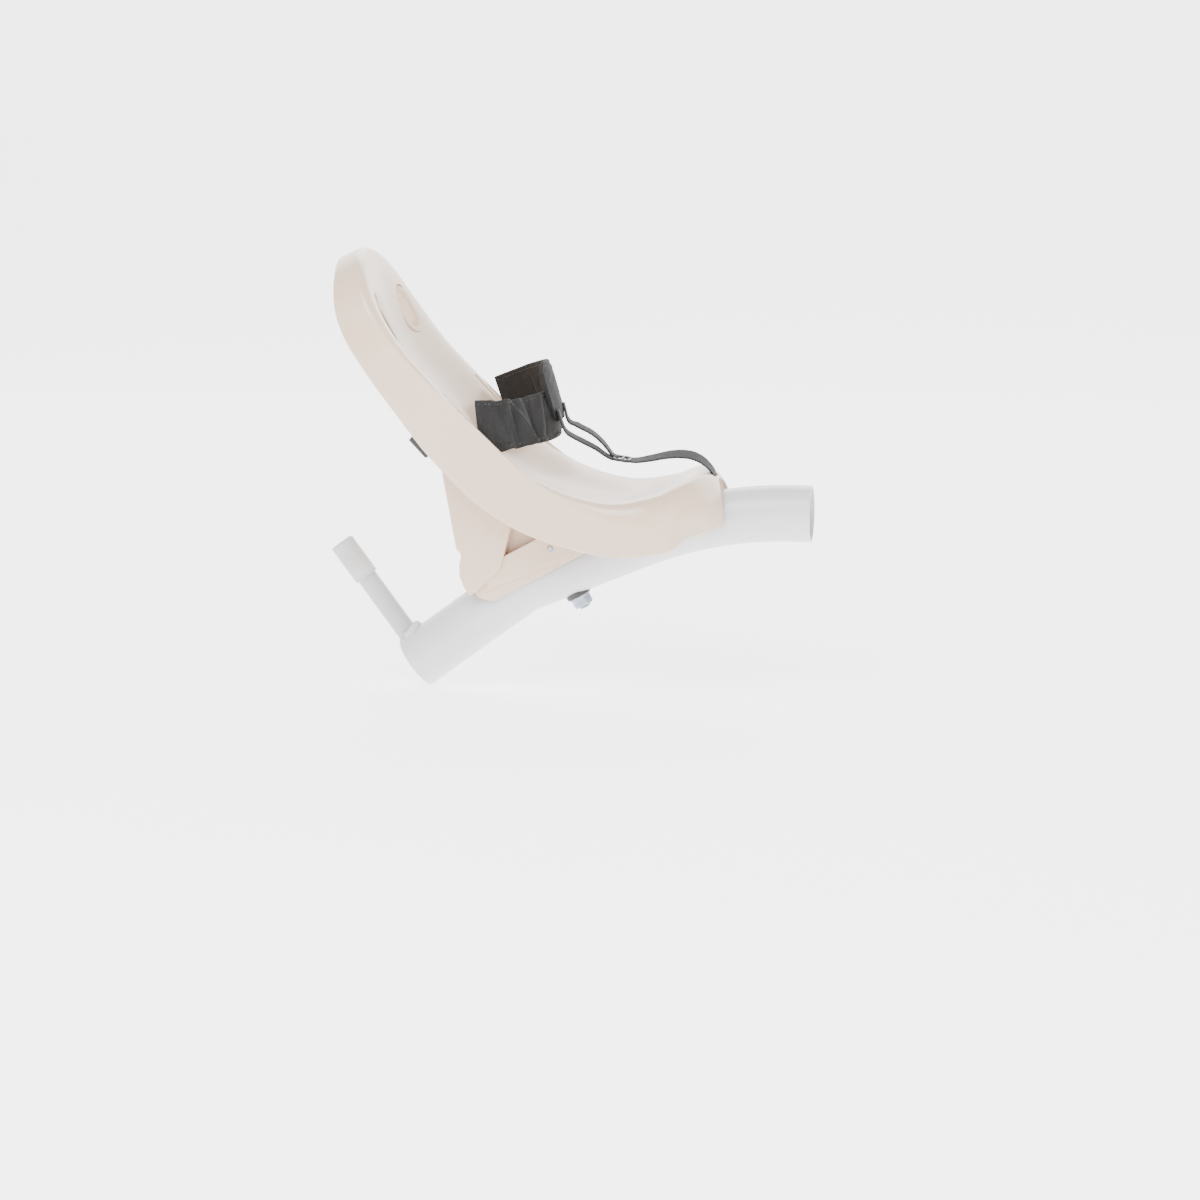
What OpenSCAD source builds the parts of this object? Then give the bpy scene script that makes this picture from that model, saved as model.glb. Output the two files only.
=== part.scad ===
// Infant bouncer seat on its bent tube arm: a moulded seat on a sliding shoe, a lap belt with a
// crotch strap, and an upright handle at the arm's low end.
// Millimetres. +X is the way the sitter faces, +Z is up, Y is across the seat.
// The origin is the centre of the arm's open front end.

/* [Seat] */
// Half of the seat's width, measured to the crest of its rim
rim_half_w = 113; // [108:1:118]
// Wall thickness of the moulded seat
shell_wall = 4; // [3:0.5:5]
// Depth of the hollow in the backrest
dish_back = 24; // [18:1:26]
// Depth of the hollow in the seat pan
dish_pan = 15; // [10:1:16]
// Depth of the skirt beside the seat pan
skirt_depth = 61; // [56:1:64]

/* [Arm] */
// Outside diameter of the arm tube
arm_d = 70; // [66:0.5:70]
// Wall thickness of the arm tube
arm_wall = 3; // [2:0.5:4]

/* [Handle] */
// Outside diameter of the handle tube
handle_d = 25.4; // [22:0.1:28]
// Length of the handle, from the arm's axis to the end of its cap
handle_len = 178; // [150:1:200]
// Length of the handle's cap
cap_len = 54; // [40:1:60]

/* [Slide and clamp] */
// How far the seat slides down the arm
slide_travel = 45; // [25:5:45]
// Slope of the slide
slide_slope = 29; // [28:0.5:30]
// Diameter of the clamp bolt
bolt_d = 14; // [12:1:14]

/* [Belt] */
// Width of the padded lap belt
belt_w = 66; // [60:1:68]
// Width of the crotch strap
crotch_w = 25; // [20:1:28]

/* [Hidden] */

ivory = "#ece0d4";
paint_grey = "#e2e2e3";
zinc = "#8f9aa8";
black_cloth = "#2e2b2a";
black_plastic = "#262626";

eps = 0.01;
fine = 96;

// ---------- Arm centre line: straights and bends, from the open end back and down ----------
// Each row is [straight length, bend angle after it, bend radius]
arm_run = [[25, 22.5, 500], [143, 14, 120], [155.9, 0, 1]];
arm_r = arm_d / 2;
bend_swell = 0.08;

function arm_slope(i) = i == 0 ? 0 : arm_slope(i - 1) + arm_run[i - 1][1];
function along(slope) = [-cos(slope), -sin(slope)];
// Start of straight i
function arm_start(i) = i == 0 ? [0, 0] : bend_end(i - 1);
function bend_start(i) = arm_start(i) + arm_run[i][0] * along(arm_slope(i));
function bend_end(i) = let (s = arm_slope(i), t = s + arm_run[i][1], r = arm_run[i][2])
    bend_start(i) + r * [sin(s) - sin(t), cos(t) - cos(s)];

arm_last = len(arm_run) - 1;
arm_tail = bend_start(arm_last);
tail_slope = arm_slope(arm_last);

// ---------- Slide frame: its x runs up the slide, its z stands off it, its origin is on the arm ----------
bolt_straight = 1;
bolt_inset = 100.4;
bolt_point = arm_start(bolt_straight) + bolt_inset * along(arm_slope(bolt_straight));
bolt_r = bolt_d / 2;
slide_up = [cos(slide_slope), sin(slide_slope)];
slide_off = [-sin(slide_slope), cos(slide_slope)];
function on_slide(x, z) = bolt_point + x * slide_up + z * slide_off;
module slide_frame() translate([bolt_point[0], 0, bolt_point[1]]) rotate([0, -slide_slope, 0]) children();

// ---------- Seat profile: the crest of the rim, seen from the side, from the head to the front lip ----------
rim_line = [
    [-584, 380], [-552, 314], [-522, 254], [-486, 202], [-443, 156], [-398, 109], [-350, 66],
    [-296, 37], [-236, 24], [-182, 33], [-134, 52], [-100, 34]
];
spans = len(rim_line) - 3;
steps_per_span = 8;
function hermite(p, t) = 0.5 * (2 * p[1] + (p[2] - p[0]) * t
    + (2 * p[0] - 5 * p[1] + 4 * p[2] - p[3]) * t * t
    + (3 * p[1] - p[0] - 3 * p[2] + p[3]) * t * t * t);
rim_points = [for (s = [0 : spans - 1], k = [0 : steps_per_span - 1])
    hermite([for (j = [0 : 3]) rim_line[s + j]], k / steps_per_span), rim_line[spans + 1]];
function running_length(i) = i == 0 ? 0 : running_length(i - 1) + norm(rim_points[i] - rim_points[i - 1]);
rim_lengths = [for (i = [0 : len(rim_points) - 1]) running_length(i)];
rim_total = rim_lengths[len(rim_points) - 1];
rim_x = [for (i = [0 : len(rim_points) - 1]) [rim_lengths[i], rim_points[i][0]]];
rim_z = [for (i = [0 : len(rim_points) - 1]) [rim_lengths[i], rim_points[i][1]]];
function rim_inside(a) = [lookup(a, rim_x), lookup(a, rim_z)];
function unit(v) = v / norm(v);
function rim_chord(a) = let (c = min(max(a, 6), rim_total - 6)) unit(rim_inside(c + 5) - rim_inside(c - 5));
// The rim levels out over its last stretch, so that the front lip hangs straight down
level_run = 90;
function level(a) = let (t = min(max((a - rim_total + level_run) / level_run, 0), 1)) t * t * (3 - 2 * t);
function rim_dir(a) = unit(rim_chord(a) * (1 - level(a)) + [1, 0] * level(a));
function rim_at(a) = rim_inside(min(max(a, 0), rim_total))
    + (a - min(max(a, 0), rim_total)) * rim_dir(a);
function rim_up(a) = let (d = rim_dir(a)) [-d[1], d[0]];
// A point of the seat: a along the profile from the head, b across, h off the rim towards the sitter
function seat_point(a, b, h) = let (p = rim_at(a) + h * rim_up(a)) [p[0], b, p[1]];

dish_table = [[0, 12], [120, dish_back - 2], [200, dish_back], [330, dish_back], [400, dish_pan + 3],
    [450, dish_pan], [520, dish_pan - 2], [rim_total, dish_pan - 4]];
function dish_depth(a) = lookup(a, dish_table);
function dish_height(a, share) = -dish_depth(a) * (1 + cos(180 * pow(min(share, 1), 1.3))) / 2;
function skirt_at(a) = lookup(a, [[-40, 30], [0, 34], [60, 47], [120, 50], [230, 62], [330, 64],
    [435, skirt_depth], [485, skirt_depth + 5], [520, skirt_depth + 8], [rim_total, skirt_depth + 1]]);
// The rim's outer rounding: small and round along the back, long and drooping over the front lip
function rim_radius(a) = lookup(a, [[rim_total - 130, 12], [rim_total, 32]]);
function rim_droop(a) = lookup(a, [[rim_total - 130, 12], [rim_total, 52]]);

// ---------- Seat outline, unrolled: a stadium, walked once round ----------
end_steps = 18;
side_steps = 22;
side_from = rim_half_w;
side_to = rim_total - rim_half_w;
// Each entry is [medial point along the profile, outward direction along, outward direction across].
// The walk starts at the top of the head, so entry i mirrors entry count - i
half_end = end_steps / 2;
// The front end is a little squarer than a half circle
front_power = 2.25;
function blunt(w) = pow(pow(abs(cos(w)), front_power) + pow(abs(sin(w)), front_power), -1 / front_power);
outline = concat(
    [for (k = [0 : half_end - 1]) let (w = 180 + 90 * k / half_end) [side_from, cos(w), sin(w)]],
    [for (k = [0 : side_steps - 1]) [side_from + (side_to - side_from) * k / side_steps, 0, -1]],
    [for (k = [0 : end_steps - 1]) let (w = 270 + 180 * k / end_steps, f = blunt(w)) [side_to, f * cos(w), f * sin(w)]],
    [for (k = [0 : side_steps - 1]) [side_to - (side_to - side_from) * k / side_steps, 0, 1]],
    [for (k = [0 : half_end - 1]) let (w = 90 + 90 * k / half_end) [side_from, cos(w), sin(w)]]
);
count = len(outline);

function dish_ring(share, sink) = [for (o = outline)
    let (a = o[0] + share * rim_half_w * o[1], b = share * rim_half_w * o[2])
    seat_point(a, b, dish_height(a, share) - sink)];
function edge_ring(turn, fall, wall) = [for (o = outline)
    let (crest = o[0] + rim_half_w * o[1], q = rim_radius(crest) - wall, droop = rim_droop(crest),
        out = rim_half_w + q * sin(turn),
        drop = wall + (droop - wall) * (1 - cos(turn)) + fall * (skirt_at(crest) - droop))
    seat_point(o[0] + out * o[1], out * o[2], -drop)];

inner_share = 0.1;
shares = [inner_share, 0.25, 0.4, 0.55, 0.68, 0.8, 0.9, 1];
turns = [30, 60, 90];
falls = [0.35, 0.7, 1];
top_rings = concat([for (s = shares) dish_ring(s, 0)], [for (t = turns) edge_ring(t, 0, 0)],
    [for (f = falls) edge_ring(90, f, 0)]);
under_rings = concat([for (i = [len(falls) - 1 : -1 : 0]) edge_ring(90, falls[i], shell_wall)],
    [for (i = [len(turns) - 1 : -1 : 0]) edge_ring(turns[i], 0, shell_wall)],
    [for (i = [len(shares) - 1 : -1 : 0]) dish_ring(shares[i], shell_wall)]);

// Closed skin over a stack of rings whose first and last rings are flat ovals
module ring_solid(rings) {
    last = len(rings) - 1;
    half = count / 2;
    // The two ovals at the ends are closed by rungs from one side to the other
    function rungs(base, flip) = [for (k = [0 : half - 1])
        let (i = k, j = k + 1, m = (count - k) % count, n = count - k - 1,
            f = (k == 0) ? [base + 0, base + 1, base + n] : (n == j ? [base + i, base + j, base + m]
                : [base + i, base + j, base + n, base + m]))
        flip ? [for (q = [len(f) - 1 : -1 : 0]) f[q]] : f];
    walls = [for (r = [0 : last - 1], i = [0 : count - 1]) let (j = (i + 1) % count, p = r * count, q = p + count)
        each [[p + i, q + i, q + j], [p + i, q + j, p + j]]];
    polyhedron(points = [for (r = rings) each r],
        faces = concat(walls, rungs(0, false), rungs(last * count, true)), convexity = 8);
}

// ---------- Sub-parts of the arm ----------
// The bends stand proud of the straights by swell, and each straight runs a little way into them
module arm_bar(r, swell, from_end) {
    lap = 0.5;
    for (i = [0 : arm_last]) {
        p = arm_start(i);
        s = arm_slope(i);
        lead = i == 0 ? from_end : lap;
        tail = i == arm_last ? from_end : lap;
        translate([p[0], 0, p[1]]) rotate([0, -90 - s, 0]) translate([0, 0, -lead])
            cylinder(r = r, h = arm_run[i][0] + lead + tail, $fn = 72);
        if (arm_run[i][1] > 0) {
            q = bend_start(i);
            bend = arm_run[i][2];
            turn = arm_run[i][1];
            // The bend's centre lies below the tube
            c = q + bend * [sin(s), -cos(s)];
            translate([c[0], 0, c[1]]) rotate([90, 0, 0]) rotate([0, 0, 90 + s])
                rotate_extrude(angle = turn, $fn = 160) translate([bend, 0]) circle(r = r + swell, $fn = 72);
        }
    }
}

module arm_tube() color(paint_grey) difference() {
    arm_bar(arm_r, bend_swell, 0);
    arm_bar(arm_r - arm_wall, -bend_swell, 1);
    slide_frame() cylinder(r = bolt_r + 0.5, h = 3 * arm_r, center = true, $fn = 48);
}

plug_len = 16;
module arm_end_plug() color(paint_grey)
    translate([arm_tail[0], 0, arm_tail[1]]) rotate([0, 90 - tail_slope, 0]) difference() {
        cylinder(r = arm_r - arm_wall, h = plug_len, $fn = fine);
        translate([0, 0, 3]) cylinder(r = arm_r - arm_wall - 3, h = plug_len, $fn = fine);
    }

// The handle stands square to the arm, flush with the arm's low end
handle_r = handle_d / 2;
handle_foot = arm_tail - handle_r * along(tail_slope);
cap_wall = 2.8;
module handle_frame() translate([handle_foot[0], 0, handle_foot[1]]) rotate([0, -tail_slope, 0]) children();
module handle_clear() translate([-1, 0, 0]) rotate([0, 90, 0]) cylinder(r = arm_r, h = 6 * handle_r, center = true, $fn = fine);
module handle_tube() color(paint_grey) handle_frame() difference() {
    cylinder(r = handle_r, h = handle_len - cap_wall, $fn = 64);
    translate([0, 0, -1]) cylinder(r = handle_r - 2, h = handle_len + 2, $fn = 64);
    handle_clear();
}
weld_h = 16;
weld_r = 9;
module handle_weld() color(paint_grey) handle_frame() difference() {
    intersection() {
        rotate_extrude($fn = 64) difference() {
            translate([0, arm_r - 16]) square([handle_r + weld_r, weld_h + 13]);
            translate([handle_r + weld_r + 4, arm_r + weld_h]) circle(r = weld_r + 4, $fn = 64);
        }
        translate([-handle_r + 0.7, -40, 0]) cube([80, 80, arm_r + weld_h]);
    }
    cylinder(r = handle_r, h = 200, $fn = 64);
    handle_clear();
}
cap_r = 15.5;
module handle_cap() color(paint_grey) handle_frame() translate([0, 0, handle_len - cap_len]) {
    difference() {
        union() {
            cylinder(r = cap_r, h = cap_len - 2, $fn = 64);
            translate([0, 0, cap_len - 2]) cylinder(r1 = cap_r, r2 = cap_r - 2, h = 2, $fn = 64);
        }
        translate([0, 0, -1]) cylinder(r = handle_r, h = cap_len - cap_wall + 1, $fn = 64);
    }
}

// ---------- Slide shoe and clamp ----------
// The arm's top rises towards the slide up to here, at its second bend
lean = slide_slope - arm_slope(bolt_straight);
hump = arm_r + (arm_run[1][0] - bolt_inset) * sin(lean) + arm_run[1][2] * (1 - cos(lean));
liner_t = 2;
plate_t = 4;
plate_low = hump + 0.5 + liner_t;
plate_top = plate_low + plate_t;
shoe_in = arm_r + 1.5;
shoe_out = shoe_in + 4;
shoe_rear = -106;
shoe_front = 72;
cheek_low = 8;
slot_half = bolt_r + 0.8;

module slot_cut(low, high) {
    for (x = [0, slide_travel]) translate([x, 0, low]) cylinder(r = slot_half, h = high - low, $fn = 32);
    translate([0, -slot_half, low]) cube([slide_travel, 2 * slot_half, high - low]);
}

module slide_shoe() color(ivory) difference() {
    slide_frame() union() {
        translate([shoe_rear, -shoe_out, plate_low]) cube([shoe_front - shoe_rear, 2 * shoe_out, plate_t]);
        for (side = [-1, 1]) translate([0, side * (shoe_in + 2) + 2, 0]) rotate([90, 0, 0])
            linear_extrude(4) polygon([[shoe_rear, plate_low], [shoe_rear, cheek_low + 14],
                [shoe_rear + 14, cheek_low], [shoe_front - 30, cheek_low], [shoe_front, plate_low - 8],
                [shoe_front, plate_low]]);
    }
    slide_frame() slot_cut(plate_low - 1, plate_top + 1);
    cheek_holes(1.7);
}

module shoe_liner() color(black_plastic) difference() {
    slide_frame() translate([shoe_rear + 4, -20, plate_low - liner_t])
        cube([shoe_front - shoe_rear - 8, 40, liner_t - 0.05]);
    slide_frame() slot_cut(plate_low - liner_t - 1, plate_top);
}

// ---------- Support leg: a hollow moulded post and a recessed web ----------
leg_half = 50;
flange_half = 44.5;
web_half = 26;
leg_wall = 4;
leg_gap = 1.5;
leg_from = 181;
leg_to = 313;
web_to = 379;
function under_dish(a, gap) = let (p = rim_at(a) - (dish_depth(a) + shell_wall + gap) * rim_up(a)) p;
leg_top = [for (a = [leg_from : 12 : leg_to]) under_dish(a, leg_gap)];
web_top = [for (a = [leg_to - 40 : 12 : web_to]) under_dish(a, leg_gap)];
leg_outline = concat([[-438, -47], [-431.5, -54], [-434, -68], [-434, -81], [-429, -94], [-421, -107],
    [-382, -72], [-369, -20]], [for (i = [len(leg_top) - 1 : -1 : 0]) leg_top[i]]);
web_outline = concat([on_slide(-80, plate_top), on_slide(60, plate_top)],
    [for (i = [len(web_top) - 1 : -1 : 0]) web_top[i]]);
flange_outline = [on_slide(-88, 24), on_slide(22, 14), on_slide(56, 30), on_slide(66, plate_low),
    on_slide(66, plate_top + 5), on_slide(-88, plate_top + 5)];

module slab(outline_points, half) rotate([90, 0, 0]) translate([0, 0, -half])
    linear_extrude(2 * half) polygon(outline_points);
module inset_slab(outline_points, by, half) rotate([90, 0, 0]) translate([0, 0, -half])
    linear_extrude(2 * half) offset(delta = -by) polygon(outline_points);

module support_leg() color(ivory) difference() {
    union() {
        slab(leg_outline, leg_half);
        slab(web_outline, web_half);
        slab(flange_outline, flange_half);
    }
    inset_slab(leg_outline, leg_wall, leg_half - leg_wall);
    inset_slab(web_outline, leg_wall, web_half - leg_wall);
    slide_frame() translate([-300, -shoe_out - 0.3, -200]) cube([600, 2 * shoe_out + 0.6, 200 + plate_top + 0.3]);
    slide_frame() slot_cut(plate_top - 1, plate_top + 26);
    slide_frame() translate([-22, -19, plate_top]) cube([slide_travel + 44, 38, 16]);
    cheek_holes(2.3);
    screw_row(2.2);
}

// Screws through the web's sides into the shoe's cheeks
cheek_spots = [[6, 33], [28, 24]];
module cheek_holes(r) slide_frame() for (p = cheek_spots)
    translate([p[0], 0, p[1]]) rotate([90, 0, 0]) cylinder(r = r, h = 120, center = true, $fn = 24);
module cheek_screws() color(zinc) slide_frame() for (p = cheek_spots, side = [0, 180])
    translate([p[0], 0, p[1]]) rotate([90, 0, side]) translate([0, 0, flange_half]) {
        cylinder(r1 = 4, r2 = 2.8, h = 2.4, $fn = 32);
        translate([0, 0, -6.5]) cylinder(r = 1.6, h = 7, $fn = 24);
    }

// Screws through the dish into the leg's top
screw_stations = [250, 285];
screw_y = 26;
module at_screw(a, y) {
    p = seat_point(a, y, dish_height(a, abs(y) / rim_half_w));
    u = rim_up(a);
    translate(p) rotate([0, atan2(u[0], u[1]), 0]) children();
}
module screw_row(r) for (a = screw_stations, y = [-screw_y, screw_y]) at_screw(a, y)
    cylinder(r = r, h = 60, center = true, $fn = 24);
module shell_screws() color(zinc) for (a = screw_stations, y = [-screw_y, screw_y]) at_screw(a, y) {
    translate([0, 0, 1.2]) cylinder(r1 = 5.2, r2 = 3.6, h = 2.6, $fn = 32);
    translate([0, 0, -14]) cylinder(r = 2.1, h = 15.3, $fn = 24);
}

// ---------- Clamp hardware ----------
washer_t = 3;
head_h = 7;
nut_h = 11;
nut_flats = 22;
saddle_low = -arm_r - 3.4;
flat_t = 2.5;
nut_top = saddle_low - flat_t;
module slot_washer() color(zinc) slide_frame() difference() {
    translate([-17, -15, plate_top + 0.1]) cube([34, 30, washer_t]);
    cylinder(r = bolt_r + 0.3, h = 200, $fn = 48);
}
module clamp_bolt() color(zinc) slide_frame() {
    translate([0, 0, nut_top - nut_h - 3]) cylinder(r = bolt_r, h = plate_top + washer_t + 0.2 - nut_top + nut_h + 3, $fn = 64);
    translate([0, 0, plate_top + washer_t + 0.2]) cylinder(r = bolt_r * 1.57 / cos(30), h = head_h, $fn = 6);
}
module saddle_washer() color(black_plastic) slide_frame() difference() {
    translate([0, 0, saddle_low]) cylinder(r = 16, h = 14, $fn = 64);
    rotate([0, 90 + slide_slope - arm_slope(bolt_straight), 0])
        cylinder(r = arm_r + 0.05, h = 90, center = true, $fn = fine);
    translate([0, 0, -100]) cylinder(r = bolt_r + 0.3, h = 200, $fn = 48);
}
module flat_washer() color(zinc) slide_frame() difference() {
    translate([0, 0, nut_top]) cylinder(r = 14, h = flat_t - 0.05, $fn = 64);
    translate([0, 0, -100]) cylinder(r = bolt_r + 0.3, h = 200, $fn = 48);
}
module clamp_nut() color(zinc) slide_frame() difference() {
    intersection() {
        translate([0, 0, nut_top - nut_h - 0.05]) cylinder(r = nut_flats / 2 / cos(30), h = nut_h, $fn = 6);
        translate([0, 0, nut_top - nut_h - 0.05]) cylinder(r1 = nut_flats / 2 + 0.2, r2 = nut_flats / 2 + 4, h = nut_h, $fn = 48);
    }
    translate([0, 0, -100]) cylinder(r = bolt_r + 0.05, h = 200, $fn = 64);
}

// ---------- Seat shell and its trims ----------
slot_centre = 241;
slot_len = 92;
slot_across = 104;
port_station = 79;
port_across = 68;
port_long = 56;
port_wide = 26;

// A frame on the seat's face: x along the profile, y across, z off the face
module face_frame(a, b, h) {
    d = rim_dir(a);
    translate(seat_point(a, b, h)) rotate([0, -atan2(d[1], d[0]), 0]) children();
}
// The ports tilt inwards with the side of the hollow
port_tilt = 19;
port_pitch = 2.3;
module port_shape(side, grow, low, high) face_frame(port_station, side * port_across, dish_height(port_station, port_across / rim_half_w))
    rotate([0, port_pitch, 0]) rotate([side * port_tilt, 0, 0]) translate([0, 0, low]) linear_extrude(high - low) hull()
        for (s = [-1, 1]) translate([s * (port_long - port_wide) / 2, 0]) circle(d = port_wide + 2 * grow, $fn = 40);
module port_bezel(side) color(ivory) difference() {
    union() {
        port_shape(side, 4.5, 1.6, 3.6);
        port_shape(side, -0.4, -9, 2);
    }
    port_shape(side, -3, -12, 12);
}
module port_bezel_left() port_bezel(1);
module port_bezel_right() port_bezel(-1);

module belt_slot(side) face_frame(slot_centre, side * slot_across, 0) translate([-slot_len / 2, -4, -30])
    cube([slot_len, 8, 60]);
// Room for the arm under the front lip: the top of its first bend, as the seat finds it at the slide's low end
room_gap = 1;
bend_reach = arm_run[0][2] + arm_r;
function arm_top(x) = let (u = x - slide_travel * cos(slide_slope) + arm_run[0][0])
    slide_travel * sin(slide_slope) + room_gap - arm_run[0][2] + sqrt(bend_reach * bend_reach - u * u);
room_half = arm_r + 2;
room_turn = [for (w = [0 : 15 : 180]) w];
// An arch over the arm at one place along it, with straight sides down past the skirt
function room_arch(x) = concat([[x, room_half, -60]],
    [for (w = room_turn) [x, room_half * cos(w), arm_top(x) - room_half * (1 - sin(w))]], [[x, -room_half, -60]]);
module arm_room() {
    arches = [for (x = [-200 : 10 : -60]) room_arch(x)];
    n = len(arches[0]);
    last = len(arches) - 1;
    walls = [for (i = [0 : last - 1], k = [0 : n - 1]) let (a = i * n + k, b = i * n + (k + 1) % n) [a, a + n, b + n, b]];
    polyhedron(points = [for (arch = arches) each arch], convexity = 4,
        faces = concat(walls, [[for (k = [0 : n - 1]) k], [for (k = [n - 1 : -1 : 0]) last * n + k]]));
}

module seat_shell() color(ivory) difference() {
    ring_solid(concat(top_rings, under_rings));
    for (side = [-1, 1]) {
        belt_slot(side);
        port_shape(side, 0, -30, 20);
        port_shape(side, 4.8, 1.55, 20);
    }
    translate([-125.5, -crotch_w / 2 - 2.5, 36]) cube([7.5, crotch_w + 5, 24]);
    arm_room();
    screw_row(2.6);
}

// ---------- Webbing: a flat band swept along points, its width along each row's second vector ----------
// Each station is [point, width direction, width]
function cross_unit(a, b) = unit(cross(a, b));
module band(stations, thick) {
    n = len(stations);
    function heading(i) = stations[min(i + 1, n - 1)][0] - stations[max(i - 1, 0)][0];
    corners = [for (i = [0 : n - 1]) let (s = stations[i], w = unit(s[1]), t = cross_unit(heading(i), w))
        each [s[0] + w * s[2] / 2 + t * thick / 2, s[0] - w * s[2] / 2 + t * thick / 2,
            s[0] - w * s[2] / 2 - t * thick / 2, s[0] + w * s[2] / 2 - t * thick / 2]];
    sides = [for (i = [0 : n - 2], k = [0 : 3]) let (p = 4 * i + k, q = 4 * i + (k + 1) % 4)
        each [[p, q, q + 4], [p, q + 4, p + 4]]];
    polyhedron(points = corners, faces = concat(sides, [[3, 2, 1, 0], [for (k = [0 : 3]) 4 * (n - 1) + k]]),
        convexity = 6);
}

belt_t = 3.6;
belt_root = [-406, 119];
patch_t = 1.2;
// Each half is [reach to the front, upward slope of its loop, width, how far down its slot it sits].
// The left half laps outside the right one
left_half = [88, 19, belt_w + 8, 0];
right_half = [75, 6, belt_w - 8, 11];
slot_run = rim_dir(slot_centre);
function offset_half(half, by) = [half[0] + by, half[1], half[2], half[3]];
// A point on the belt's loop: angle 0 is at the left slot, 90 at the front, 180 at the right slot
function belt_point(angle, half) = let (f = sin(angle) * half[0], r = belt_root + half[3] * slot_run)
    [r[0] + f * cos(half[1]), slot_across * cos(angle) * (1 + 0.02 * sin(angle)), r[1] + f * sin(half[1])];
// The belt's width direction turns from the slope of the seat at the slots to nearly upright in front
function belt_width_dir(angle) = let (w = 45 + 31 * pow(sin(angle), 2)) [-cos(w), 0, sin(w)];
// The halves are narrower where they pass through the slots
function belt_width(angle, half) = let (f = min(1, abs(sin(angle)) * 1.6)) belt_w * (1 - f) + half[2] * f;
module belt_arc(from, to, half, thick, trim) band([for (k = [0 : 20]) let (g = from + (to - from) * k / 20)
    [belt_point(g, half), belt_width_dir(g), belt_width(g, half) - trim]], thick);
overlap_half = 15;
module belt_left() color(black_cloth) belt_arc(0, 90 + overlap_half, left_half, belt_t, 0);
module belt_right() color(black_cloth) belt_arc(90 - overlap_half, 180, right_half, belt_t, 0);
module loop_patch() color(black_cloth)
    belt_arc(92 - overlap_half, 88 + overlap_half, offset_half(left_half, -belt_t / 2 - patch_t / 2 - 0.8), patch_t, 26);
module hook_patch() color(black_cloth)
    belt_arc(92 - overlap_half, 88 + overlap_half, offset_half(right_half, belt_t / 2 + patch_t / 2 + 0.6), patch_t, 12);

strap_t = 2;
rear_w = 30;
rear_station = 224;
// Half of the rear strap's run: [across, height off the rim]
rear_run = [[104, -8], [107, -26], [108, -46], [106, -62], [99, -71], [84, -75], [56, -77], [24, -80], [0, -81]];
rear_dir = let (d = rim_dir(rear_station)) [-d[0], 0, -d[1]];
rear_path = concat(rear_run, [for (i = [len(rear_run) - 2 : -1 : 0]) [-rear_run[i][0], rear_run[i][1]]]);
module rear_strap() color(black_cloth)
    band([for (p = rear_path) [seat_point(rear_station, p[0], p[1]), rear_dir, rear_w]], strap_t);
module slider_plate(long, wide, thick, slot_wide) difference() {
    translate([-long / 2, -wide / 2, -thick / 2]) cube([long, wide, thick]);
    for (s = [-1, 1]) translate([s * long / 4 - long / 12, -slot_wide / 2, -thick]) cube([long / 6, slot_wide, 2 * thick]);
}
module rear_slider() color(black_plastic) face_frame(rear_station, 0, -84.2) rotate([0, 0, 90])
    slider_plate(24, rear_w + 8, 3, rear_w + 2);

// ---------- Crotch strap: two branches from the belt join at a slider and run over the front lip ----------
branch_w = 20;
left_run = [[-314.3, 22, 130], [-311.5, 21.5, 120], [-309.3, 21, 112], [-305, 19.5, 106.5], [-297, 17, 103.5],
    [-289, 14, 100], [-278, 12, 95], [-268.6, 10, 88.5], [-260, 8, 80.5], [-254, 6, 73.5], [-249, 4.6, 68]];
right_run = [[-313.2, -22, 126], [-309.8, -21.5, 114], [-306.8, -21, 105], [-303, -19.5, 98.5], [-295, -16, 92.5],
    [-286, -13.5, 87.5], [-276.7, -11, 82.5], [-267, -9, 77], [-258.3, -7, 70.5], [-249, -5, 65]];
strap_run = [[-222, 62], [-201, 65], [-180, 69.5], [-162, 71], [-146, 68.5], [-134, 62], [-127, 55.5],
    [-122.8, 50], [-121.8, 46], [-123.8, 42.4], [-130, 41.2], [-137, 41.2]];
across = [0, 1, 0];
module crotch_branch(run) color(black_cloth)
    band([for (p = run) [p, [-0.12, 1, 0], branch_w - abs(p[1]) * 0.1]], strap_t * 0.9);
module crotch_branch_left() crotch_branch(left_run);
module crotch_branch_right() crotch_branch(right_run);
module crotch_strap() color(black_cloth)
    band([for (p = strap_run) [[p[0], 0, p[1]], across, crotch_w]], strap_t);
module crotch_slider() color(black_plastic) translate([-236, 0, 63.6]) rotate([0, 8, 0])
    slider_plate(22, crotch_w + 8, 4, crotch_w + 2);
module crotch_retainer() color(black_plastic) translate([-133, 0, 43.7])
    slider_plate(10, crotch_w + 12, 2.2, crotch_w);

arm_tube();
arm_end_plug();
handle_tube();
handle_weld();
handle_cap();
seat_shell();
support_leg();
slide_shoe();
shoe_liner();
shell_screws();
cheek_screws();
port_bezel_left();
port_bezel_right();
clamp_bolt();
slot_washer();
saddle_washer();
flat_washer();
clamp_nut();
belt_left();
belt_right();
loop_patch();
hook_patch();
rear_strap();
rear_slider();
crotch_strap();
crotch_branch_left();
crotch_branch_right();
crotch_slider();
crotch_retainer();
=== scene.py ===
"""Infant bouncer seat on a bent tube arm: the looks of every piece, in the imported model's frame."""
import math

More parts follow.
